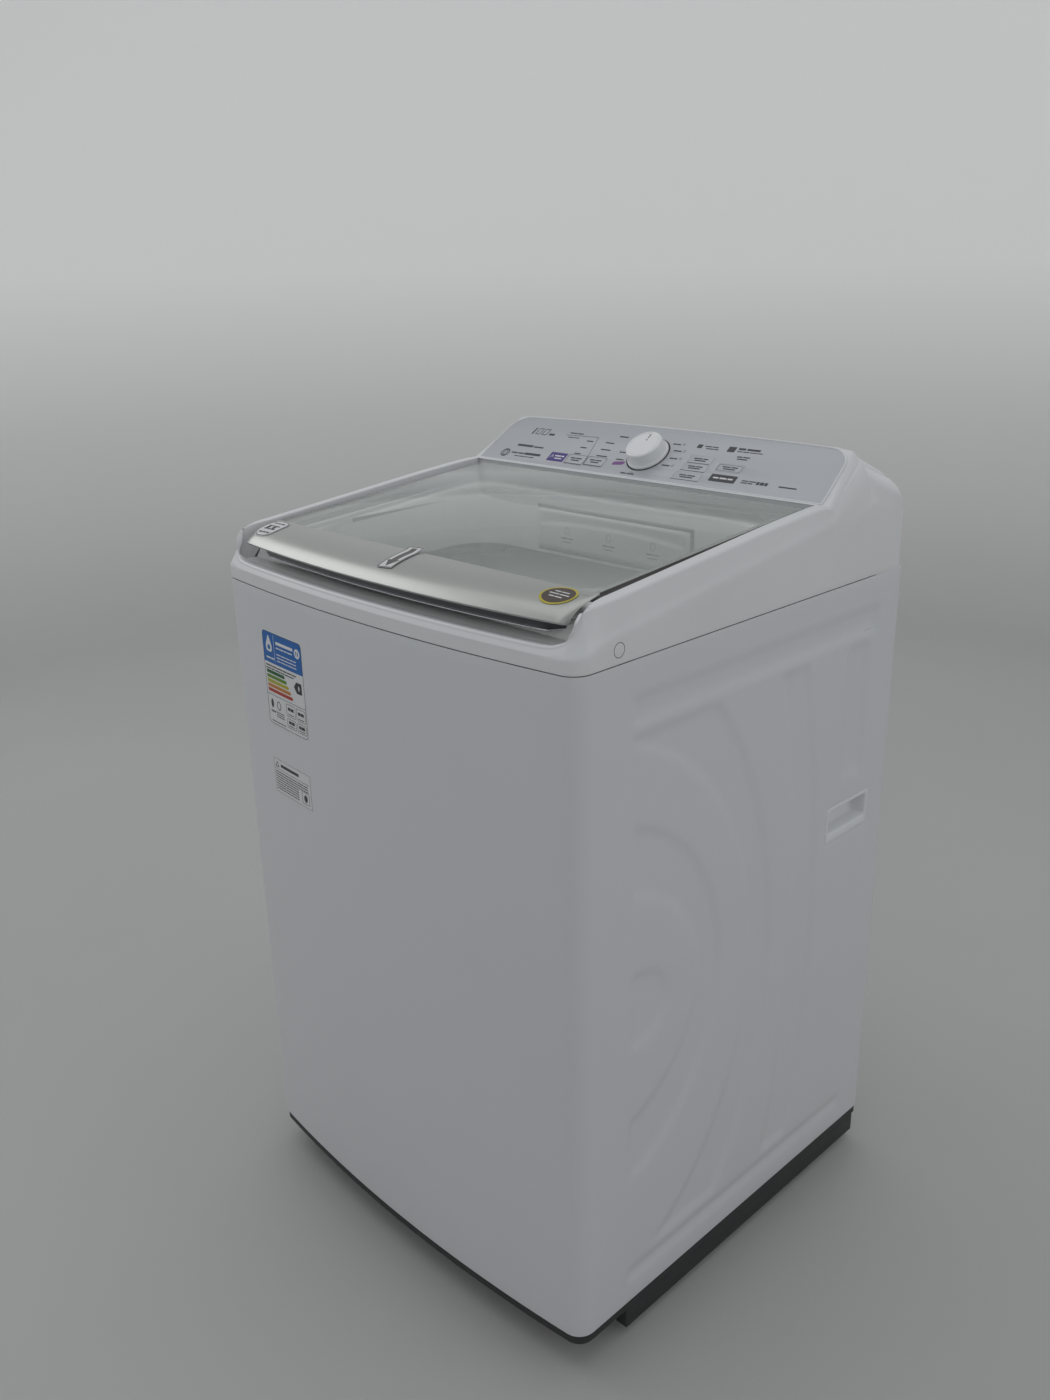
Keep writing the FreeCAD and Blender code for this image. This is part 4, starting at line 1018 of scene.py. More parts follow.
def make_top_cover():
    rows = 26
    outline = rounded([(y, z, r) for y, z, r in SILHOUETTE], closed=False, steps=7)
    right = []
    side = Vector((1, 0))
    top_edge = []
    count = len(outline)
    last_column = None
    for k in range(count - 1, -1, -1):
        here = outline[k]
        before, after = outline[max(k - 1, 0)], outline[min(k + 1, count - 1)]
        ahead = (after - before).normalized()
        tilt = (-ahead.y, ahead.x)
        radius = 3.5 + 9.5 * blend(here.x, 128, 190) * (1 - blend(here.x, 280, 308))
        path = here.x - CORNER_Y + CORNER * math.pi / 4
        if abs(ahead.x) < 0.05:
            continue
        reach = shoulder(here.y - radius * tilt[1], SHOULDER_LOW, SHOULDER_HIGH, SHOULDER_REACH)
        if here.x > CREST.y:
            reach = SHOULDER_REACH - 14 * blend(here.x, 238, 316)
        points = wall_column(Vector((HALF, here.x)), side, here.y, radius, rows, path, tilt, reach)
        right.append(points)
        top_edge.append(points[-1])
        if last_column is None:
            last_column = points
    rim_depths = even_steps(CORNER_Y, 130, 12)[::-1]
    rim_stations = [(Vector((HALF, y)), side) for y in rim_depths] + front_and_corner(12, 44)
    strip_rings = []
    for place, normal in rim_stations:
        path = path_place(place)
        top = rim_height(path)
        radius = 3.5
        points = wall_column(place, normal, top, radius, rows, path)
        right.append(points)
        back = lean_in(path, top - radius) + radius + SHELL_INSET
        level = blend(path, -50, -8)
        inner = 12 + 12 * (1 - level) + 10 * blend(path, -4, 60)
        base = place - normal * inner
        drop = floor_level(base.y)
        strip = [points[-1]]

        def strip_point(inward, level_height, place=place, normal=normal):
            spot = place - normal * inward
            return Vector((spot.x, spot.y, level_height))
        for share in (0.2, 0.45, 0.75):
            slide = (top - drop) * (1 - level) * blend(share, 0, 1.1)
            strip.append(strip_point(back + (inner - 1.4 - back) * share, top + 0.4 * level * share - slide))
        for step in range(4):
            angle = math.pi / 2 * step / 3
            edge = top + 0.4 - 1.4 * (1 - math.cos(angle))
            strip.append(strip_point(inner - 1.4 + 1.4 * math.sin(angle),
                                     edge * level + (drop + 0.1) * (1 - level)))
        strip.append(strip_point(inner + 0.8, drop))
        strip_rings.append(strip)
    wall = loft(right, closed=False)
    # the strip runs on to meet the console's lip
    first = strip_rings[0]
    reach = LIP_Y - first[0].y
    on = [Vector((p.x, p.y + reach, p.z + reach * 0.02)) for p in first]
    strip = loft([on] + strip_rings, closed=False)
    # the vertical rear corner and the rear face
    corner_rings = [last_column]
    rear_radius = 8.5
    for step in range(1, 7):
        angle = math.pi / 2 * step / 6
        ring = []
        for p in last_column:
            ring.append(Vector((p.x - rear_radius * (1 - math.cos(angle)),
                                min(WALL_REAR, p.y + rear_radius * math.sin(angle)), p.z)))
        corner_rings.append(ring)
    half = join(wall, strip, loft(corner_rings, closed=False))
    shape = join(half, mirrored(half))
    # the console's top surface from end to end
    across = [1, 0.9, 0.75, 0.5, 0.25, 0, -0.25, -0.5, -0.75, -0.9, -1]
    shape.add(loft([[Vector((p.x * s, p.y, p.z)) for s in across] for p in top_edge], closed=False))
    rear_edge = corner_rings[-1]
    shape.add(loft([[Vector((p.x * s, p.y, p.z)) for s in across] for p in rear_edge], closed=False))
    # the lip and the wall at the back of the recess
    lip = [(LIP_Y + 4.5, 1007.75), (LIP_Y + 1.2, 1008.1), (LIP_Y + 0.3, 1007.6), (LIP_Y, 1006.6),
           (LIP_Y + 0.2, floor_level(LIP_Y) - 1)]
    width = HALF - 20
    shape.add(loft([[Vector((width * s, y, z)) for s in across] for y, z in lip], closed=False))
    piece("cover_shell", shape.moved(arched), COVER_WHITE, "root", ("top_cover",), (1, 0, 0),
          42)
    make_recess([ring[-1] for ring in strip_rings])


def make_recess(rim_base):
    """The tray, the ledge under the lid and the well's wall."""
    right = [Vector((rim_base[0].x, LIP_Y + 0.2))] + [Vector((p.x, p.y)) for p in rim_base]
    left = [Vector((-p.x, p.y)) for p in right[::-1]]
    outer = anticlockwise(right + left[1:])
    well_half, well_front, well_rear, corner = 262, -236, 110, 106
    gap = DRAWER_HIGH.x + 3
    plan = rounded([(well_half, well_front, corner), (well_half, well_rear, corner),
                    (gap, well_rear, 0), (-gap, well_rear, 0),
                    (-well_half, well_rear, corner), (-well_half, well_front, corner)], steps=18)
    plan = anticlockwise(plan)
    mouth = inset(plan, -5)
    floor = cut_across(sheet_faces([outer, mouth], 0), 1, 12)
    levels = (-262, -248, -231)
    bm = bmesh.new()
    corners = [bm.verts.new(p) for p in floor.points]
    for face in floor.faces:
        bm.faces.new([corners[k] for k in face])
    sliced(bm, 1, levels)
    bm.verts.index_update()
    shape = Shape([(v.co.x, v.co.y, floor_level(v.co.y)) for v in bm.verts],
                  [[v.index for v in face.verts] for face in bm.faces])
    bm.free()
    rings = []
    opening_top, opening_low = 962, 896
    profile = [(5, 0), (2.6, -0.5), (0.8, -2), (0, -4.5)]
    for across, down in profile:
        rings.append([Vector((p.x, p.y, floor_level(p.y) + down)) for p in inset(plan, -across)])
    for z in (opening_top, 940, 918, opening_low, 892):
        rings.append([Vector((p.x, p.y, z)) for p in plan])
    wall = loft(rings)
    kept = []
    for face in wall.faces:
        middle = sum((wall.points[k] for k in face), Vector()) / len(face)
        in_opening = abs(middle.x) < gap - 1 and middle.y > well_rear - 1
        if in_opening and opening_low - 0.1 < middle.z < opening_top + 0.1:
            continue
        kept.append(face)
    shape.add(Shape(wall.points, kept))
    # the recess takes the lightened white, painted light for its shade under the glass
    piece("cover_recess", shape, LIGHTENED_WELL_WHITE, "root", (), (0, 0, 1), 38)


def make_console_trim():
    """The bright bead round the fascia, the round plugs and a dark ring in the gap round each plug."""
    edge = fascia_outline(-0.4)
    path = [on_panel(p.x, p.y, -0.5) for p in edge]
    piece("fascia_bead", tube_along(path, 1.5, looped=True), COVER_WHITE, "root")
    for name, sign in (("left", -1), ("right", 1)):
        shape = turned([(0, 1.2), (6.6, 1.2), (7.4, 0.9), (7.7, 0.3), (7.7, 0)], count=40)
        low = span("cap_plugs")[0]
        rise = (low.z + span("cap_plugs")[1].z) / 2
        depth = (low.y + span("cap_plugs")[1].y) / 2

        def upright(p, sign=sign, depth=depth, rise=rise):
            return Vector((sign * (HALF - 1.0 + p.z * 0.8), depth + p.x, rise + p.y))
        stands_for = ("cap_plugs",) if sign > 0 else ()
        piece(f"{name}_cap_plug", shape.moved(upright), COVER_WHITE, "root", stands_for)
        groove = turned([(7.5, 0.2), (7.7, 1.06), (8.3, 1.06), (8.5, 0.2)], count=40)
        piece(f"{name}_plug_gap", groove.moved(upright), SEAM_SHADOW, "root")


def fascia_outline(grow=0.0):
    half_low, half_top, top = 301.6, 293.5, 102.5
    right = [(half_low, 0.6, 1), (half_low, 16, 60), (half_top, top, 33)]
    crest = [(u, top, 0) for u in range(225, -226, -25)]
    left = [(-u, v, r) for u, v, r in right[::-1]]
    outline = inset(anticlockwise(rounded(right + crest + left)), -grow)
    return [Vector((p.x, p.y - CREST_ARCH * (p.x / CREST_HALF) ** 2 * blend(p.y, 20, 104))) for p in outline]


# ---- Fascia, its keys and dial ----

KEYS = {
    # key: (middle across, station up the panel, half length, half height)
    "fill_level": (-117, 21, 18, 10), "soak": (-80, 22, 18, 9.5), "rinse": (89, 50, 19, 6.5),
    "spin": (89, 35, 20, 6.5), "economy": (87, 17.5, 22, 6.5), "start": (142, 41, 20, 7),
}


def key_outline(name, gap=0.0):
    middle, station, half_u, half_v = KEYS[name]
    return block_outline(middle - half_u - gap, station - half_v - gap, middle + half_u + gap,
                         station + half_v + gap, 2.0 + gap)


def lift_to_panel(p):
    return on_panel(p.x, p.y, p.z)


def print_row(left, middle, length, height, words=3, seed=1):
    """A row of short dashes that reads as generic print."""
    chooser = random.Random(seed)
    parts = [chooser.uniform(0.6, 1.4) for _ in range(words)]
    gap = min(height * 0.7, length * 0.06)
    scale = (length - gap * (words - 1)) / sum(parts)
    shape = Shape()
    start = left
    for part in parts:
        end = start + part * scale
        shape.add(dash(start, middle - height / 2, end, middle + height / 2))
        start = end + gap
    return shape


def dash(left, low, right, high, thick=PRINT):
    corners = [(left, low), (right, low), (right, high), (left, high)]
    points = [(u, v, z) for z in (0.0, thick) for u, v in corners]
    faces = [(3, 2, 1, 0), (4, 5, 6, 7), (0, 1, 5, 4), (1, 2, 6, 5), (2, 3, 7, 6), (3, 0, 4, 7)]
    return Shape(points, faces)


def outline_mark(outline, width):
    """A thin printed line round a closed outline."""
    outline = anticlockwise(outline)
    return printed(outline, [inset(outline, width)])


def stroke(points, width):
    """A thin printed line through several places."""
    shape = Shape()
    for start, end in zip(points, points[1:]):
        ahead = (Vector(end) - Vector(start)).normalized() * (width / 2)
        side = Vector((-ahead.y, ahead.x))
        start, end = Vector(start) - ahead, Vector(end) + ahead
        corners = [start - side, end - side, end + side, start + side]
        shape.add(printed(corners))
    return shape


def make_fascia():
    openings = [key_outline(name, 0.15) for name in KEYS] + [oval(0, DIAL_STATION, 7, count=24)]
    shape = plate(fascia_outline(), openings, -2.6, 0, 0.5)
    piece("fascia_plate", shape.moved(lift_to_panel), FASCIA_SILVER, "root",
          ("console_fascia",), OFF_PANEL, 30)
    marks = Shape()
    for left, width in ((-240, 3), (-232, 9), (-219, 10)):
        right = left + width
        slanted = [Vector(p) for p in ((left, 62), (right, 62), (right + 2, 75), (left + 2, 75))]
        marks.add(outline_mark(slanted, 1.1))
    marks.add(print_row(-204, 64.5, 11, 4.0, 1, 3))
    marks.add(print_row(-247, 36, 32, 4.2, 1, 4)).add(print_row(-213, 35.4, 20, 2.6, 1, 5))
    marks.add(outline_mark(oval(-259, 17.5, 8.2), 1.6)).add(outline_mark(oval(-259, 17.5, 4.2, 6.5), 1.6))
    marks.add(print_row(-247, 19.5, 27, 2.6, 2, 6)).add(print_row(-219, 19.8, 32, 4.6, 1, 7))
    marks.add(print_row(-236, 13.4, 40, 1.6, 4, 8))
    line = [(-171, 67.5), (-108, 69.5), (-96, 13)]
    marks.add(stroke(line, 0.6)).add(print_row(-166, 72.5, 26, 2.0, 2, 9))
    marks.add(print_row(-164, 63.5, 22, 1.6, 2, 10))
    for row, station in enumerate((60, 46, 33)):
        marks.add(print_row(-124 - row * 2, station, 12, 2.2, 1, 11 + row))
        marks.add(print_row(-88 + row, station + 1, 16 + row * 2, 2.2, 1, 15 + row))
    marks.add(print_row(-72, 76, 16, 2.4, 1, 19))
    for number in range(11):
        angle = math.radians(205 - number * 23)
        if 60 < math.degrees(angle) % 360 < 118:
            continue
        u = 43 * math.cos(angle)
        v = DIAL_STATION + 37 * math.sin(angle)
        marks.add(print_row(u - 8 if u < 0 else u - 4, v, 13, 2.2, 1 + number % 2, 20 + number))
        if u > 0:
            marks.add(outline_mark(oval(u + 14, v + 1, 2.0, count=16), 0.45))
    marks.add(print_row(-22, 8, 24, 2.2, 2, 40))
    marks.add(dash(-7.5, 11, -1, 11.5))
    for left, right, station in ((71, 107, 42.4), (69, 109, 27.4), (64, 110, 10.0)):
        marks.add(dash(left, station, right, station + 0.7))
    marks.add(dash(68, 71, 76, 78)).add(print_row(80, 75.6, 22, 1.8, 2, 41))
    marks.add(print_row(84, 71.6, 20, 1.8, 2, 42))
    marks.add(dash(118, 70, 130, 80)).add(print_row(134, 77.5, 34, 3.6, 2, 43))
    marks.add(print_row(134, 72.6, 40, 1.6, 4, 44)).add(print_row(140, 63, 20, 2.2, 2, 45))
    marks.add(print_row(142, 59, 16, 2.0, 1, 46))
    marks.add(printed(block_outline(123, 15, 164, 28, 1.5)))
    marks.add(print_row(173, 22.5, 22, 1.8, 2, 47)).add(print_row(173, 19, 18, 1.8, 2, 48))
    marks.add(print_row(196, 21, 17, 5.2, 3, 49)).add(print_row(230, 20, 26, 2.2, 1, 50))
    marks.add(outline_mark(key_outline("start", -1.4), 0.45))
    piece("fascia_print", marks.moved(lift_to_panel), INK_GREY, "root")
    pale = Shape()
    pale.add(print_row(128, 21.6, 31, 2.6, 3, 51).raised(PRINT))
    pale.add(print_row(-159, 23.5, 18, 2.4, 2, 52).raised(PRINT))
    pale.add(print_row(-157, 18.5, 14, 2.0, 1, 53).raised(PRINT))
    pale.add(stroke([(-166.5, 19), (-164, 25), (-161.5, 20)], 0.8).raised(PRINT))
    piece("fascia_pale_print", pale.moved(lift_to_panel), INK_WHITE, "root")
    violet = printed(block_outline(-170, 12.5, -137.5, 30.3, 1.0))
    piece("fascia_violet_panel", violet.moved(lift_to_panel), INK_VIOLET, "root")
    pill = printed(rounded([(-49, 20, 4), (-29, 23, 4), (-27, 30, 4), (-47, 27, 4)]))
    piece("fascia_mauve_tag", pill.moved(lift_to_panel), INK_MAUVE, "root")


def make_keys():
    for number, name in enumerate(KEYS):
        middle, station, half_u, half_v = KEYS[name]
        node = f"key_{name}"
        shape = plate(key_outline(name), [], -4.6, 0.0, 0.12)
        piece(f"{name}_key_cap", shape.moved(lift_to_panel), KEY_SILVER, f"{node}_body",
              (node,), OFF_PANEL, 30)
        marks = Shape()
        half = half_u * 0.6
        if name in ("fill_level", "soak"):
            marks.add(print_row(middle - half, station + 2.6, half * 2, 2.2, 2, 60 + number))
            marks.add(print_row(middle - half * 0.7, station - 1.6, half * 1.4, 2.2, 1, 70 + number))
            marks.add(dash(middle - half_u + 1.5, station - half_v + 1.2, middle + half_u - 1.5,
                           station - half_v + 2.2))
        else:
            marks.add(print_row(middle - half, station + 1.6, half * 2, 2.0, 2, 60 + number))
            marks.add(print_row(middle - half * 0.8, station - 2.0, half * 1.6, 2.0, 1, 70 + number))
        if name in ("fill_level", "soak"):
            marks.add(outline_mark(key_outline(name, -0.6), 0.35))
        piece(f"{name}_key_print", marks.moved(lift_to_panel), INK_GREY, f"{node}_body")


def lift_to_dial(p):
    return on_panel(p.x, DIAL_STATION + p.y, p.z)


def make_dial():
    low, high = 0.5, 20.0
    side = [(30.2, low), (30.2, 2.2), (29.6, 3.4), (28.2, 4.2), (27.6, 5.2)]
    crown = [(26.6, high - 3.2), (26.0, high - 1.4), (24.9, high - 0.4), (23.6, high - 0.1),
             (22.8, high - 0.5), (22.2, high - 0.9), (20, high - 1.0), (0.0, high - 1.0)]
    body = turned([(0.0, low)] + side + crown, count=96)

    def fluted(p):
        turn = math.atan2(p.y, p.x)
        reach = math.hypot(p.x, p.y)
        grip = blend(reach, 25.5, 26.3) * blend(high - p.z, 2.0, 5) * blend(p.z, 4.5, 7)
        scale = 1 - 0.010 * grip * (0.5 - 0.5 * math.cos(turn * 36))
        return Vector((p.x * scale, p.y * scale, p.z))
    shape = body.moved(fluted)
    shape.add(turned([(0.0, -7.0), (2.9, -7.0), (2.9, low + 0.5), (0.0, low + 0.5)], count=24))
    piece("dial_knob", shape.moved(lift_to_dial), DIAL_WHITE, "dial", ("program_dial",), None,
          40)
    top = high - 1.0
    marks = plate(block_outline(-0.7, 12.5, 0.7, 20.5, 0.6), [], top, top + 0.15, 0)
    marks.add(plate(oval(0, 9.0, 1.4, count=16), [oval(0, 9.0, 0.8, count=16)], top, top + 0.15, 0))
    piece("dial_pointer", marks.moved(lift_to_dial), INK_GREY, "dial")
    skirt = turned([(30.4, 0.05), (32.4, 0.05), (32.2, 0.3), (31.0, 0.4), (30.4, 0.3)], count=96)
    piece("dial_surround", skirt.moved(lift_to_dial), SEAM_SHADOW, "root")


# ---- Lid ----

LID_FRONT = -303
LID_HALF = 285
SILVER_DROP = [(0, 15.0), (2, 13.2), (6, 10.2), (15, 5.6), (30, 2.1), (46, 0.4), (60, 0.0)]


def lid_front_at(x):
    return LID_FRONT + (front_at(x) - FRONT)


def make_silver_front():
    """The curved silver front of the lid, a shell with a rolled edge and rounded corners."""
    half = LID_HALF + 3
    corner = 9
    across = even_steps(-half, half, 9, (1 - half, 3 - half, 6 - half, half - 6, half - 3, half - 1))
    rings = []
    inwards = [0, 0.8, 2, 4, 7, 11, 16, 22, 30, 40, 50, 60, 72]
    for x in across:
        near = half - abs(x)
        cut_back = corner - math.sqrt(max(0.0, corner ** 2 - max(0.0, corner - near) ** 2))
        edge = lid_front_at(x) + cut_back
        column = []
        for inward in inwards:
            y = min(edge + inward * (SILVER_REAR - edge) / 72.0, SILVER_REAR)
            gap = y - edge
            side_drop = 2.2 * (1 - blend(near, -3, 7)) * blend(SILVER_REAR - y, 0, 30)
            drop = curve_through(SILVER_DROP, gap) + side_drop
            column.append(Vector((x, y, lid_level(y) - drop)))
        under = [Vector((x, column[0].y + 1.2, column[0].z - 2.2)),
                 Vector((x, column[0].y + 4, column[0].z - 2.6)),
                 Vector((x, column[0].y + 14, column[0].z + 0.6))]
        rings.append(under[::-1] + column)
    piece("lid_silver_front", loft(rings, closed=False), LID_SILVER, "lid",
          ("lid_front_trim",), (0, 0, 1), 45, 1.5)
    make_lid_grip()


def make_lid_grip():
    """The dark grip under the silver edge, with its bright line."""
    half = LID_HALF - 21
    across = even_steps(-half, half, 11)
    rings = []
    for x in across:
        front = lid_front_at(x)
        near = half - abs(x)
        back = 16 - math.sqrt(max(0.0, 16 ** 2 - max(0.0, 16 - near) ** 2))
        face = front + 12 + back
        level = lid_level(front + 14) - 15
        low = 934.5 + 1.0 * (abs(x) / half) ** 2
        rings.append([Vector((x, face + 14, level + 4)), Vector((x, face - 4, level + 4.5)),
                      Vector((x, face - 3, level - 2)), Vector((x, face + 1, low + 6)),
                      Vector((x, face + 5.5, low)), Vector((x, face + 8, low - 1.4)),
                      Vector((x, face + 14, low - 0.5)), Vector((x, face + 22, low + 12)),
                      Vector((x, SILVER_REAR + 6, lid_level(SILVER_REAR) - 12)),
                      Vector((x, SILVER_REAR + 6, lid_level(SILVER_REAR) - 5))])
    piece("lid_grip_channel", loft(rings, capped=True), LID_GREY, "lid", ("lid_grip",), None, 40)
    path = [ring[4] + Vector((0, -0.7, 0.2)) for ring in rings]
    piece("lid_bright_line", tube_along(path, 0.9), BRIGHT_TRIM, "lid")


def on_lid(x, y, out=0.0):
    return Vector((x, y, lid_level(y) + out))


def make_lid_glass_details():
    """The printed band along the rear of the glass and the dark edge of its sides, partly the thick glass's
    own dark edge and partly painted shadow of the gap beside it.
    """
    rear = GLASS_HIGH.y
    band = dash(-LID_HALF + 2, rear - 24, LID_HALF - 2, rear - 1, 0.1)
    under = band.moved(lambda p: on_lid(p.x, p.y, GLASS_UNDERSIDE + p.z))
    piece("glass_rear_band", cut_across(under, 0, 60), BAND_GREY, "lid")
    # a dark strip on each side face of the glass: the glass's own dark edge and painted shadow of the gap
    # beside it
    edges = Shape()
    section = ((0.12, -4.0), (0.12, -0.35), (0.4, -0.5), (0.4, -3.9))
    for sign in (-1, 1):
        rings = [[on_lid(sign * (LID_HALF + across), y, down) for across, down in section]
                 for y in even_steps(SILVER_REAR, rear - 1, 60)]
        edges.add(loft(rings, capped=True))
    piece("glass_edge_line", edges, TAUPE_INK_AND_GAP_SHADE, "lid")
    front = dash(-LID_HALF + 3, SILVER_REAR - 1, LID_HALF - 3, SILVER_REAR + 3.5, 0.1)
    under = front.moved(lambda p: on_lid(p.x, p.y, GLASS_UNDERSIDE + p.z))
    piece("glass_front_band", under, BAND_GREY, "lid")


def lid_drop(x, y):
    edge = lid_front_at(x)
    return curve_through(SILVER_DROP, y - edge)


def stick_on_lid(shape, raise_by=0.45):
    """Wraps a flat sticker onto the silver front."""
    return cut_across(shape, 1, 4).moved(
        lambda p: Vector((p.x, p.y, lid_level(p.y) - lid_drop(p.x, p.y) + raise_by + p.z)))


def lid_sticker(name, shape, finish):
    piece(name, shape, finish, "lid")


def make_lid_stickers():
    make_brown_sticker()
    make_white_sticker()
    make_paper_tab()


def make_brown_sticker():
    x, y = 252, -254
    rim = plate(oval(x, y, 22, 19, 40), [], 0, STICKER, 0)
    lid_sticker("brown_sticker_rim", stick_on_lid(rim), INK_YELLOW)
    top = STICKER + 0.11
    face = plate(oval(x, y, 19.2, 16.2, 40), [], STICKER, top, 0)
    lid_sticker("brown_sticker_face", stick_on_lid(face), INK_BROWN)
    lines = Shape()
    for number, (left, middle, length) in enumerate(((242, -248, 20), (239, -253.5, 27), (243, -259, 18))):
        lines.add(print_row(left, middle, length, 1.7, 2, 80 + number))
    lid_sticker("brown_sticker_print", stick_on_lid(lines.raised(top)), INK_WHITE)


def make_white_sticker():
    tag = block_outline(-286, -277, -247, -234, 15)
    lid_sticker("white_sticker", stick_on_lid(plate(tag, [], 0, STICKER, 0)), LABEL_PAPER)
    marks = Shape()
    for number in range(4):
        marks.add(print_row(-278, -243 - 8.6 * number, 23, 2.4, 3, 90 + number))
    for x in (-274, -262):
        marks.add(printed(oval(x, -256, 3.4, 3.4, 14)))
    marks.add(outline_mark(inset(anticlockwise(tag), 0.8), 1.0))
    lid_sticker("white_sticker_print", stick_on_lid(marks.raised(STICKER)), INK_BLACK)


def make_paper_tab():
    """A paper strip with an arrow towards the grip, set a little askew and lifting at its rear end."""
    turn = Matrix.Rotation(math.radians(9), 2)
    half, front, rear = 11.5, -29, 30
    thick = 0.3

    def askew(p):
        flat = turn @ Vector((p.x, p.y))
        return Vector((flat.x - 1, flat.y - 256, p.z))

    def curled(shape):
        laid = stick_on_lid(cut_across(shape, 1, 4).moved(askew), 0.9)
        return laid.moved(lambda p: p + Vector((0, 0, 2.2 * blend(p.y, -240, -224))))

    def corners(edge):
        return [Vector(p) for p in ((edge - half, front + edge), (half - edge, front + edge),
                                    (half - edge, rear - edge), (edge - half, rear - edge))]
    lid_sticker("paper_tab", curled(plate(corners(0), [], 0, thick, 0)), LABEL_PAPER)
    barb, shaft, tip, shoulder_at, tail = 8.6, 4.2, -26, -11, 26
    arrow = [Vector(p) for p in ((0, tip), (barb, shoulder_at), (shaft, shoulder_at), (shaft, tail),
                                 (-shaft, tail), (-shaft, shoulder_at), (-barb, shoulder_at))]
    marks = printed(arrow).raised(thick)
    marks.add(outline_mark(corners(0.3), 1.3).raised(thick))
    lid_sticker("paper_tab_arrow", curled(marks), TAUPE_INK_AND_GAP_SHADE)


# ---- Labels on the front ----

def stick_on_front(shape, out=0.1):
    return cut_across(shape, 0, 12).moved(lambda p: on_front(p.x, p.y, out + p.z))


def front_label(name, shape, finish):
    piece(name, stick_on_front(shape, -0.1), finish, "root")


def make_front_labels():
    make_energy_label()
    make_notice_label()


def make_energy_label():
    """A tall label: a blue header with a drop, five rating bars and a block of generic print."""
    left, right, low, high = -229.5, -130.5, 722, 852
    tall = block_outline(left, low, right, high, 7)
    front_label("energy_label", plate(tall, [], 0, PAPER, 0), LABEL_PAPER)
    header_low, edge = 809, 1.5
    header = rounded([(left + edge, header_low, 0.5), (right - edge, header_low, 0.5),
                      (right - edge, high - edge, 6), (left + edge, high - edge, 6)])
    front_label("energy_label_header", plate(header, [], PAPER, PAPER + PRINT, 0), INK_BLUE)
    drop = rounded([(-220, 824, 6), (-205, 824, 6), (-205, 833, 4), (-212.5, 847, 1), (-220, 833, 4)])
    pale = printed(drop, [oval(-212.5, 830, 3.6, count=20)])
    pale.add(print_row(-194, 839, 42, 4.0, 1, 101)).add(print_row(-194, 832.5, 40, 1.6, 4, 102))
    pale.add(printed(oval(-142, 836, 6.4), [oval(-142, 836, 3.2, 4.0)]))
    pale.add(dash(-143.0, 830, -141, 842)).add(print_row(-221, 815.5, 20, 2.2, 2, 103))
    for row in range(3):
        pale.add(print_row(-194, 824 - 4.4 * row, 48, 1.3, 5, 104 + row))
    pale.add(dash(-199.5, 812, -198.9, 848))
    front_label("energy_label_header_print", pale.raised(PAPER + PRINT), INK_WHITE)
    dark = outline_mark(inset(anticlockwise(tall), 1.1), 0.7)
    dark.add(print_row(-225, 804.5, 76, 1.7, 6, 110)).add(print_row(-225, 800.6, 70, 1.5, 6, 111))
    dark.add(dash(left + 2, 764, right - 2, 764.6))
    tag = rounded([(-150, 782, 1), (-137.5, 782, 2), (-137.5, 797, 2), (-150, 797, 1), (-156, 789.5, 1)])
    dark.add(printed(tag, [oval(-144.5, 789.5, 1.8, 3.6, 16)]))
    for x0, x1, y0, y1 in ((-181, -159, 744, 761), (-156, -134, 744, 761), (-181, -159, 728, 741),
                           (-156, -134, 728, 741)):
        dark.add(outline_mark(block_outline(x0, y0, x1, y1, 2.5), 0.6))
        dark.add(print_row(x0 + 4, y0 + (y1 - y0) * 0.62, x1 - x0 - 8, 4.2, 2, 200 + y0 + x0))
        dark.add(print_row(x0 + 4, y0 + 3.2, x1 - x0 - 8, 1.2, 3, 300 + y0 + x0))
    dark.add(printed(oval(-217, 752, 3.2, 6.2))).add(outline_mark(oval(-200, 752, 5, 6.2), 1.2))
    dark.add(print_row(-222, 741, 12, 2, 1, 120))
    for row in range(3):
        dark.add(print_row(-208, 742 - 3 * row, 20, 1.2, 3, 121 + row))
    dark.add(print_row(-222, 727.5, 36, 1.2, 5, 125))
    front_label("energy_label_print", dark.raised(PAPER), INK_BLACK)
    start, half = -224, 2.3
    for number, finish in enumerate(RATING_INKS):
        level = 796 - 6.3 * number
        end = -180 + 4.2 * number
        bar = [Vector(p) for p in ((start, level - half), (end, level - half), (end + 2.4, level),
                                   (end, level + half), (start, level + half))]
        front_label(f"rating_bar_{number + 1}", plate(bar, [], PAPER, PAPER + PRINT, 0), finish)


def make_notice_label():
    note = block_outline(-229.5, 623, -136, 673, 1.5)
    front_label("notice_label", plate(note, [], 0, PAPER, 0), LABEL_PAPER)
    lines = outline_mark(inset(anticlockwise(note), 0.7), 0.4)
    lines.add(stroke([(-224, 661), (-217, 661), (-220.5, 668), (-224, 661)], 1.1))
    lines.add(print_row(-211, 664.5, 46, 4.2, 1, 130)).add(dash(-227, 657.5, -140, 658))
    for row in range(8):
        lines.add(print_row(-226, 653.6 - 3.5 * row, 58 if row > 2 else 82, 1.3, 7, 131 + row))
    lines.add(outline_mark(block_outline(-160, 628, -142, 645, 2), 0.6))
    lines.add(printed(oval(-151, 636, 4.2, 5.2, 20)))
    front_label("notice_label_print", lines.raised(PAPER), INK_GREY)


# ---- Drawer ----

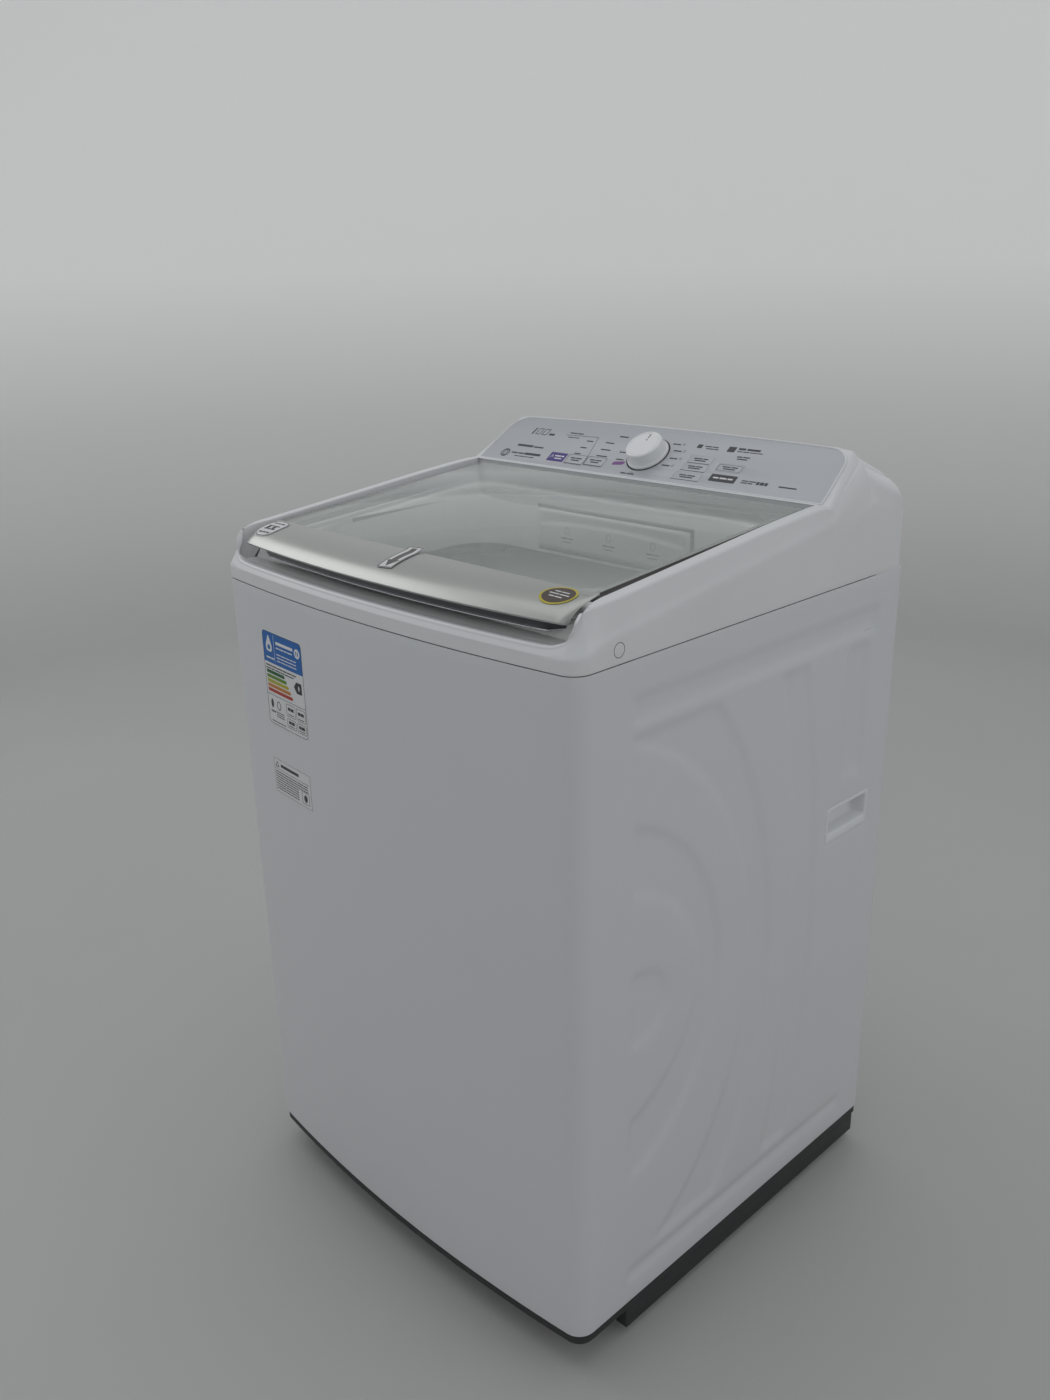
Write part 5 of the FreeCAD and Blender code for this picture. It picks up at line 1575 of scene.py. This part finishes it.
def make_drawer():
    """The drawer's front: a soft panel with an arched finger groove along its top."""
    half = DRAWER_HIGH.x - 0.4
    low, high = DRAWER_LOW.z + 0.4, DRAWER_HIGH.z - 0.4
    face = DRAWER_LOW.y + 0.3
    columns = even_steps(-half, half, 5.5)
    levels = even_steps(low, high, 2.4)
    rings = []
    for x in columns:
        column = []
        for z in levels:
            edge = min(half - abs(x), z - low, high - z)
            corner = Vector((max(0.0, abs(x) - half + 12), max(0.0, z - high + 12))).length
            rim = min(edge, 12 - corner) if corner > 0 else edge
            back = 2.6 * (1 - blend(rim, -0.5, 3.2))
            arch = high - 15 - 8 * (x / half) ** 2
            groove = 2.6 * blend(z, arch - 2, arch + 1.5) * (1 - blend(z, arch + 2, high - 2))
            groove *= blend(half - abs(x), 4, 16)
            column.append(Vector((x, face + min(back + groove, 5.2), z)))
        rings.append(column)
    shell = loft(rings, closed=False)
    piece("drawer_panel", shell, DRAWER_WHITE, "drawer", ("drawer_front",), (0, -1, 0), 60,
          0.6)
    marks = Shape()
    for x in (-78, 0, 78):
        marks.add(outline_mark(oval(x, 931, 4.6, 5.4, 20), 0.8))
        marks.add(print_row(x - 11, 920, 22, 2.2, 2, x + 500))
        marks.add(print_row(x - 8, 915, 16, 1.6, 2, x + 600))
    piece("drawer_marks", marks.moved(lambda p: Vector((p.x, face - p.z - 0.02, p.y))), BAND_GREY, "drawer")
    dress("drawer_tray", DRAWER_WHITE)
    dress("drawer_housing", WORKS_PLASTIC)


# ---- Tub, basket and agitator ----

def make_tub_ring():
    low, high = RING_LOW.z, RING_HIGH.z
    outer = RING_HIGH.x
    profile = [(236, high - 2), (236.6, high - 0.6), (238, high - 0.1), (250, high - 0.1), (256, high - 2),
               (outer - 4, low + 6.5), (outer - 0.6, low + 5.5), (outer - 0.4, low + 0.4), (236, low + 0.4),
               (236, high - 2)]
    piece("tub_cover_ring", turned(profile, count=120), RING_GREY, "tub", ("tub_ring",), None,
          32)
    rib = plate(block_outline(-16, -1.1, 16, 1.1, 1.0), [], 0, 4.2, 0.6)
    source = helper("ring_rib", rib)
    shape = grown("tub_ring_ribs", ring_tree(RING_GREY), {"Part": source, "Count": 36,
                                                          "Radius": 268 * MM, "Level": (low + 6.4) * MM})
    kept = shape.moved(lambda p: Vector((p.x, p.y, min(p.z, high - 0.2))))
    piece("tub_ring_ribs", kept, RING_GREY, "tub")


def make_balance_ring():
    low, high = BALANCE_LOW.z, BALANCE_HIGH.z
    outer = BALANCE_HIGH.x
    profile = [(224.4, low + 0.4), (224.2, low + 8), (225, high - 12), (228, high - 5), (233, high - 1.2),
               (240, high - 0.3), (252, high - 0.6), (outer - 5, high - 3), (outer - 0.6, low + 27),
               (outer - 0.5, low + 23), (outer - 3.5, low + 22), (outer - 3.6, low + 0.4), (224.4, low + 0.4)]
    body = turned(profile, count=180)

    def swirled(p):
        reach = math.hypot(p.x, p.y)
        turn = math.atan2(p.y, p.x)
        wave = 0.5 + 0.5 * math.cos(8 * (turn + (reach - 224) * 0.006))
        dip = 2.6 * wave ** 3 * blend(reach, 227, 236) * blend(outer - reach, 3, 12)
        return Vector((p.x, p.y, p.z - dip * blend(p.z, high - 8, high - 3)))
    piece("basket_balance_ring", body.moved(swirled), RING_GREY, "basket", ("balance_ring",),
          None, 40)


def make_basket():
    """A pierced drum with pressed ribs, its floor and its rolled foot."""
    base, top = BASKET_LOW.z, BASKET_HIGH.z
    radius = BASKET_HIGH.x - 0.5
    count = 8
    ring = [Vector((0.17 * math.cos(a), 0.17 * math.sin(a), 0))
            for a in (2 * math.pi * k / count for k in range(count))]
    rim = [Vector((u * 0.5, v * 0.5, 0)) for u, v in ((1, 0), (1, 1), (0, 1), (-1, 1), (-1, 0), (-1, -1),
                                                      (0, -1), (1, -1))]
    source = helper("pierced_cell", loft([ring, rim]).moved(lambda p: p / MM))
    wall_base, wall_height = base + 22, top - base - 30
    shape = grown("basket_wall", drum_tree(BASKET_STEEL), {
        "Cell": source, "Columns": 84, "Rows": 26, "Radius": radius * MM, "Base": wall_base * MM,
        "Height": wall_height * MM})

    def ribbed(p):
        turn = math.atan2(p.y, p.x)
        reach = math.hypot(p.x, p.y)
        rise = blend(p.z, wall_base + 20, wall_base + 60) * blend(wall_base + wall_height - p.z, 30, 70)
        dent = 3.0 * rise * max(0.0, math.cos(6 * turn)) ** 6
        scale = (reach - dent) / reach
        return Vector((p.x * scale, p.y * scale, p.z))
    piece("basket_wall", shape.moved(ribbed), BASKET_STEEL, "basket", ("wash_basket",),
          (1, 0, 0), 60, 0.9)
    foot = [(61, base + 0.4), (200, base + 0.6), (240, base + 1.2), (252, base + 3.5), (261, base + 10),
            (radius, base + 20), (radius, base + 22.2)]
    piece("basket_floor", turned(foot, count=120), BASKET_STEEL, "basket", (), (0, 0, -1), 40,
          0.8)
    collar = [(radius, top - 8.2), (radius, top - 1), (radius - 0.8, top - 0.3)]
    piece("basket_collar", turned(collar, count=120), BASKET_STEEL, "basket", (), (1, 0, 0),
          40, 0.8)


def make_agitator():
    low, high = AGITATOR_LOW.z, AGITATOR_HIGH.z
    core = [(low, 149.5), (low + 7, 149), (low + 16, 118), (low + 34, 88), (low + 72, 63), (low + 180, 46.5),
            (high - 8, 41), (high, 40)]
    reach = [(low, 149.5), (low + 10, 148), (low + 40, 132), (low + 110, 98), (low + 205, 76),
             (low + 275, 55), (low + 300, 46), (high - 6, 41), (high, 40)]
    columns, rings = 216, []
    for z in even_steps(low, high, 5.6, (low + 7,)):
        ring = []
        for k in range(columns):
            turn = 2 * math.pi * k / columns
            inner, outer = curve_through(core, z), curve_through(reach, z)
            sway = 0.30 * (z - low) / (high - low)
            nearest = math.remainder(turn - sway, math.pi / 2)
            off = abs(nearest) * max(inner, 50)
            vane = (1 - blend(off, 2.4, 12)) ** 1.5
            small = math.remainder(turn - sway - math.pi / 4, math.pi / 2)
            fin = (1 - blend(abs(small) * inner, 2, 8)) * 0.34 * (1 - blend(z, low + 90, low + 150))
            radius = inner + (outer - inner) * max(vane, fin)
            ring.append(Vector((radius * math.cos(turn), radius * math.sin(turn), z)))
        rings.append(ring)
    body = loft(rings)
    inner_floor = [[Vector((p.x * s, p.y * s, low + lift)) for p in rings[0]] for s, lift in
                   ((0.93, 3.5), (0.5, 12), (0.11, 14))]
    under = loft([rings[0]] + inner_floor)
    under.faces = [face[::-1] for face in under.faces]
    lid_top = [[Vector((p.x * s, p.y * s, high)) for p in rings[-1]] for s in (0.98, 0.45)]
    piece("agitator_body", join(body, under, loft([rings[-1]] + lid_top)), AGITATOR_WHITE, "agitator",
          ("agitator",), None, 50)
    cap_low, cap_high = span("agitator_cap")
    top = cap_high.z - cap_low.z
    profile = [(0.0, 0.2), (39, 0.2), (41.5, 3), (41.5, 8), (39.5, 12), (38, 30), (36.5, top - 12),
               (33, top - 5), (27, top - 1.6), (18, top - 0.4), (0.0, top - 0.2)]
    cap = turned(profile, (0, 0, cap_low.z), 64)
    piece("agitator_top_cap", cap, AGITATOR_WHITE, "agitator", ("agitator_cap",), None, 45)


# ---- Back, underside and works ----

def make_back_panel():
    """The zinc back panel: a plate with pressed frames and a bank of louvres."""
    low, high = span("back_panel")
    face = high.y - 1.2
    columns = even_steps(low.x, high.x, 9)
    levels = even_steps(low.z, high.z, 9)

    def pressed_frame(x, z, corner, far_corner, width=14):
        outside = inside_block(x, z, corner, far_corner, width)
        return outside - inside_block(x, z, (corner[0] + width, corner[1] + width),
                                      (far_corner[0] - width, far_corner[1] - width), width)

    def depth(x, z):
        upper = pressed_frame(x, z, (-250, 560), (190, 800))
        lower = pressed_frame(x, z, (-250, 200), (250, 500))
        cross = 1 - blend(abs(abs(x) * 0.60 - abs(z - 350)), 4, 12)
        inner = inside_block(x, z, (-225, 225), (225, 475), 10)
        return 3.2 * (upper + lower) + 2.4 * cross * inner
    rings = [[Vector((x, face - depth(x, z), z)) for z in levels] for x in columns]
    plain = loft(rings, closed=False)
    holes = [(140, 100, 17), (240, 840, 13)]
    kept = []
    for face_points in plain.faces:
        middle = sum((plain.points[k] for k in face_points), Vector()) / 4
        if all(math.hypot(middle.x - x, middle.z - z) > r for x, z, r in holes):
            kept.append(face_points)
    piece("rear_panel", Shape(plain.points, kept), ZINC, "root", ("back_panel",), (0, 1, 0), 50,
          0.9)
    collars = Shape()
    for x, z, r in holes:
        ring = plate(oval(x, z, r + 11, count=40), [oval(x, z, r - 2.2, count=40)], 0, 0.7, 0.3)
        collars.add(ring.moved(lambda p: Vector((p.x, face + 0.1 + p.z * 0.6, p.y))))
    piece("rear_panel_collars", collars, ZINC, "root")
    slot = plate(block_outline(-30, -2.2, 30, 2.2, 2.0), [], 0, 1.3, 0.7)
    source = helper("louvre", slot.moved(lambda p: Vector((p.x, p.z, p.y))))
    seeds = Shape([(x, face, z) for x in (-150, -70, 10, 90) for z in range(600, 770, 14)], [])
    louvres = grown("rear_louvres", spots_tree(ZINC), {"Part": source}, seeds)
    piece("rear_louvres", louvres, ZINC, "root")


def make_rear_screws():
    """Pan heads with a shallow dip in the middle, one at each screw of the back."""
    head = turned([(0.0, 1.1), (0.8, 1.5), (2.4, 1.9), (3.6, 1.5), (4.1, 0.5), (4.1, 0), (0.0, 0)], count=20)
    source = helper("screw_head", head.moved(lambda p: Vector((p.x, p.z - 1.9, p.y))))
    rows = [(x, REAR - 0.05, 973) for x in (-280, -100, 60, 280)]
    rows += [(sign * (HALF - 12), REAR - 0.05, z) for z in (80, 270, 480, 690, 880) for sign in (-1, 1)]
    seeds = Shape(rows, [])
    heads = grown("rear_screw_heads", spots_tree(ZINC), {"Part": source}, seeds)
    piece("rear_screw_heads", heads, ZINC, "root", ("rear_screws",))
    low, high = span("console_back_cover")
    outline = block_outline(low.x, low.z, high.x, high.z, 4)
    shape = plate(outline, [], 0, 1.4, 0.6)
    for number in range(3):
        level = low.z + 8 + 7 * number
        shape.add(plate(block_outline(low.x + 60, level, high.x - 60, level + 2.4, 1.1), [], 1.2, 1.9, 0.5))
    upright = shape.moved(lambda p: Vector((p.x, REAR - 2.0 + p.z, p.y)))
    piece("console_rear_plate", upright, COVER_WHITE, "root", ("console_back_cover",))


def make_springs():
    """Four suspension springs, each a real coil."""
    low, high = span("suspension_springs")
    station = high.x - 17
    shape = Shape()
    turns, wire = 7, 2.0
    for x in (-station, station):
        for y in (-station, station):
            path = []
            steps = turns * 16
            for k in range(steps + 1):
                share = k / steps
                eased = share - 0.018 * math.sin(2 * math.pi * share)
                angle = 2 * math.pi * turns * share
                z = low.z + wire + (high.z - low.z - 2 * wire) * eased
                path.append(Vector((x + 14.8 * math.cos(angle), y + 14.8 * math.sin(angle), z)))
            shape.add(tube_along(path, wire, count=8))
    coils = piece("suspension_coils", shape, SPRING_STEEL, "root", ("suspension_springs",))
    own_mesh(coils)


def make_feet():
    for name in ("foot_front_right", "foot_rear_right", "foot_rear_left", "foot_front_left"):
        low, high = span(name)
        x, y = (low.x + high.x) / 2, (low.y + high.y) / 2
        profile = [(0.0, 0.0), (20.5, 0.0), (22, 1.2), (21.6, 3), (20.6, 3.6), (20.4, 5), (19.6, 5.6),
                   (19.2, 7), (18.4, 7.6), (17.4, 11.2), (15, 12), (10.2, 12.1), (10.2, 12.4)]
        shape = turned(profile, (x, y, 0), 48)
        hexagon = plate(oval(x, y, 9.8, count=6), [], 12, 18, 0.8)
        shape.add(hexagon)
        thread = []
        level, top = 18.0, high.z - 0.4
        while level < top - 1.6:
            thread += [(4.2, level), (5.0, level + 0.75)]
            level += 1.5
        shape.add(turned([(0.0, 17.8), (4.2, 17.9)] + thread + [(4.2, top), (0.0, top)], (x, y, 0), 24))
        piece(f"{name}_pad", shape, FOOT_RUBBER, f"{name}_body", (name,), None, 40)


def make_works():
    """The pieces that keep their own shape and take only a finish."""
    finishes = {
        "base_frame": BASE_BLACK, "side_rails": BASE_BLACK, "foot_lock_nuts": ZINC,
        "dial_encoder": WORKS_PLASTIC, "control_board": BOARD_GREEN,
        "pressure_switch": WORKS_PLASTIC, "inlet_valve": WORKS_PLASTIC,
        "cord_gland": BASE_BLACK, "lid_switch": BASE_BLACK, "hanger_brackets": ZINC, "suspension_rods": ZINC,
        "spring_cups": WORKS_PLASTIC, "drain_pump": WORKS_PLASTIC, "drain_outlet": WORKS_PLASTIC,
        "sump_hose": HOSE_RUBBER, "lid_hinge_pins": ZINC, "outer_tub": TUB_PLASTIC, "tub_seal": FOOT_RUBBER,
        "gearcase": CAST_ALLOY, "motor_bracket": ZINC, "drive_motor": MOTOR_PAINT, "drive_belt": BELT_RUBBER,
        "basket_hub": CAST_ALLOY, "agitator_shaft": ZINC, "drive_pulley": CAST_ALLOY,
        "motor_pulley": CAST_ALLOY, "pump_impeller": WORKS_PLASTIC, "lid_frame": FRAME_GREY,
    }
    for node, finish in finishes.items():
        dress(node, finish)
    dress("lid_glass", GLASS, 0.5)


# ---- Studio ----

def make_stage():
    """A pale floor that curves up into a plain surround, whose wall glows faintly."""
    floor_finish = Finish("studio_floor")
    cloud = floor_finish.noise(1.2, 3)
    here = floor_finish.add("ShaderNodeTexCoord", output="Object")
    height = floor_finish.add("ShaderNodeSeparateXYZ", {}, {0: here}, output="Z")
    wall_share = floor_finish.add("ShaderNodeClamp", {}, {"Value": height * 0.8})
    ground = floor_finish.mix(cloud, tone(0.47, 0.475, 0.465), tone(0.52, 0.525, 0.515))
    base = floor_finish.mix(wall_share, ground, tone(0.80, 0.81, 0.81))
    glow = floor_finish.mix(wall_share, tone(0.02, 0.02, 0.02), tone(1.0, 1.0, 0.99))
    surface = floor_finish.principled(base, 0.45 + cloud * 0.1, Emission_Color=glow, Emission_Strength=0.165)
    pale = floor_finish.done(surface)
    radius, sweep, wall_top = 3000, 700, 2600
    profile = [(0.0, 0.0), (radius * 0.5, 0.0), (radius, 0.0)]
    for step in range(1, 11):
        angle = math.pi / 2 * step / 10
        profile.append((radius + sweep * math.sin(angle), sweep * (1 - math.cos(angle))))
    profile.append((radius + sweep, wall_top))
    shape = turned(profile, count=96)
    mesh = bpy.data.meshes.new("studio_sweep")
    mesh.from_pydata([p * MM for p in shape.points], [], shape.faces)
    finish_mesh(mesh, None, 60)
    mesh.materials.append(pale)
    sweep_object = bpy.data.objects.new("studio_sweep", mesh)
    bpy.context.scene.collection.objects.link(sweep_object)


def make_light(name, place, target, size, power):
    data = bpy.data.lights.new(name, "AREA")
    data.shape = "RECTANGLE"
    data.size, data.size_y = size
    data.energy = power
    lamp = bpy.data.objects.new(name, data)
    bpy.context.scene.collection.objects.link(lamp)
    lamp.location = place
    lamp.rotation_mode = "QUATERNION"
    lamp.rotation_quaternion = (Vector(target) - Vector(place)).to_track_quat("-Z", "Y")


def make_lights():
    world = bpy.data.worlds.new("soft_studio")
    bpy.context.scene.world = world
    world.use_nodes = True
    sky = world.node_tree.nodes["Background"]
    sky.inputs["Color"].default_value = (0.96, 0.98, 1.0, 1.0)
    sky.inputs["Strength"].default_value = 0.385
    make_light("ceiling_panel", (-0.3, 0.3, 3.7), (0, 0, 0.5), (3.4, 3.4), 16)
    make_light("left_panel", (-2.7, -0.7, 2.7), (0, 0, 0.8), (1.6, 1.6), 10)
    make_light("right_panel", (2.9, 1.2, 1.9), (0.3, 0, 0.7), (1.8, 1.8), 5)
    bpy.context.scene.view_settings.view_transform = "Standard"


LENS, SENSOR_WIDTH = 31.483, 36
CAMERA_PLACE = (1.0969, -1.1215, 1.2932)    # metres
CAMERA_TURN = (45.98, -19.87, -1.27)        # degrees: round to the left, up and over to one side


def make_camera():
    data = bpy.data.cameras.new("camera")
    data.lens = LENS
    data.sensor_width = SENSOR_WIDTH
    data.clip_start, data.clip_end = 0.01, 60
    camera = bpy.data.objects.new("camera", data)
    bpy.context.scene.collection.objects.link(camera)
    yaw, pitch, roll = (math.radians(angle) for angle in CAMERA_TURN)
    ahead = Vector((-math.sin(yaw) * math.cos(pitch), math.cos(yaw) * math.cos(pitch), math.sin(pitch)))
    right = Vector((math.cos(yaw), math.sin(yaw), 0))
    up = right.cross(ahead)
    across = math.cos(roll) * right + math.sin(roll) * up
    above = -math.sin(roll) * right + math.cos(roll) * up
    turn = Matrix((across, above, -ahead)).transposed()
    camera.matrix_world = Matrix.Translation(CAMERA_PLACE) @ turn.to_4x4()
    bpy.context.scene.camera = camera


make_camera()
make_cabinet()
make_hand_cups()
make_top_cover()
make_console_trim()
make_fascia()
make_keys()
make_dial()
make_silver_front()
make_lid_glass_details()
make_lid_stickers()
make_front_labels()
make_drawer()
make_tub_ring()
make_balance_ring()
make_basket()
make_agitator()
make_back_panel()
make_rear_screws()
make_springs()
make_feet()
make_works()
make_stage()
make_lights()
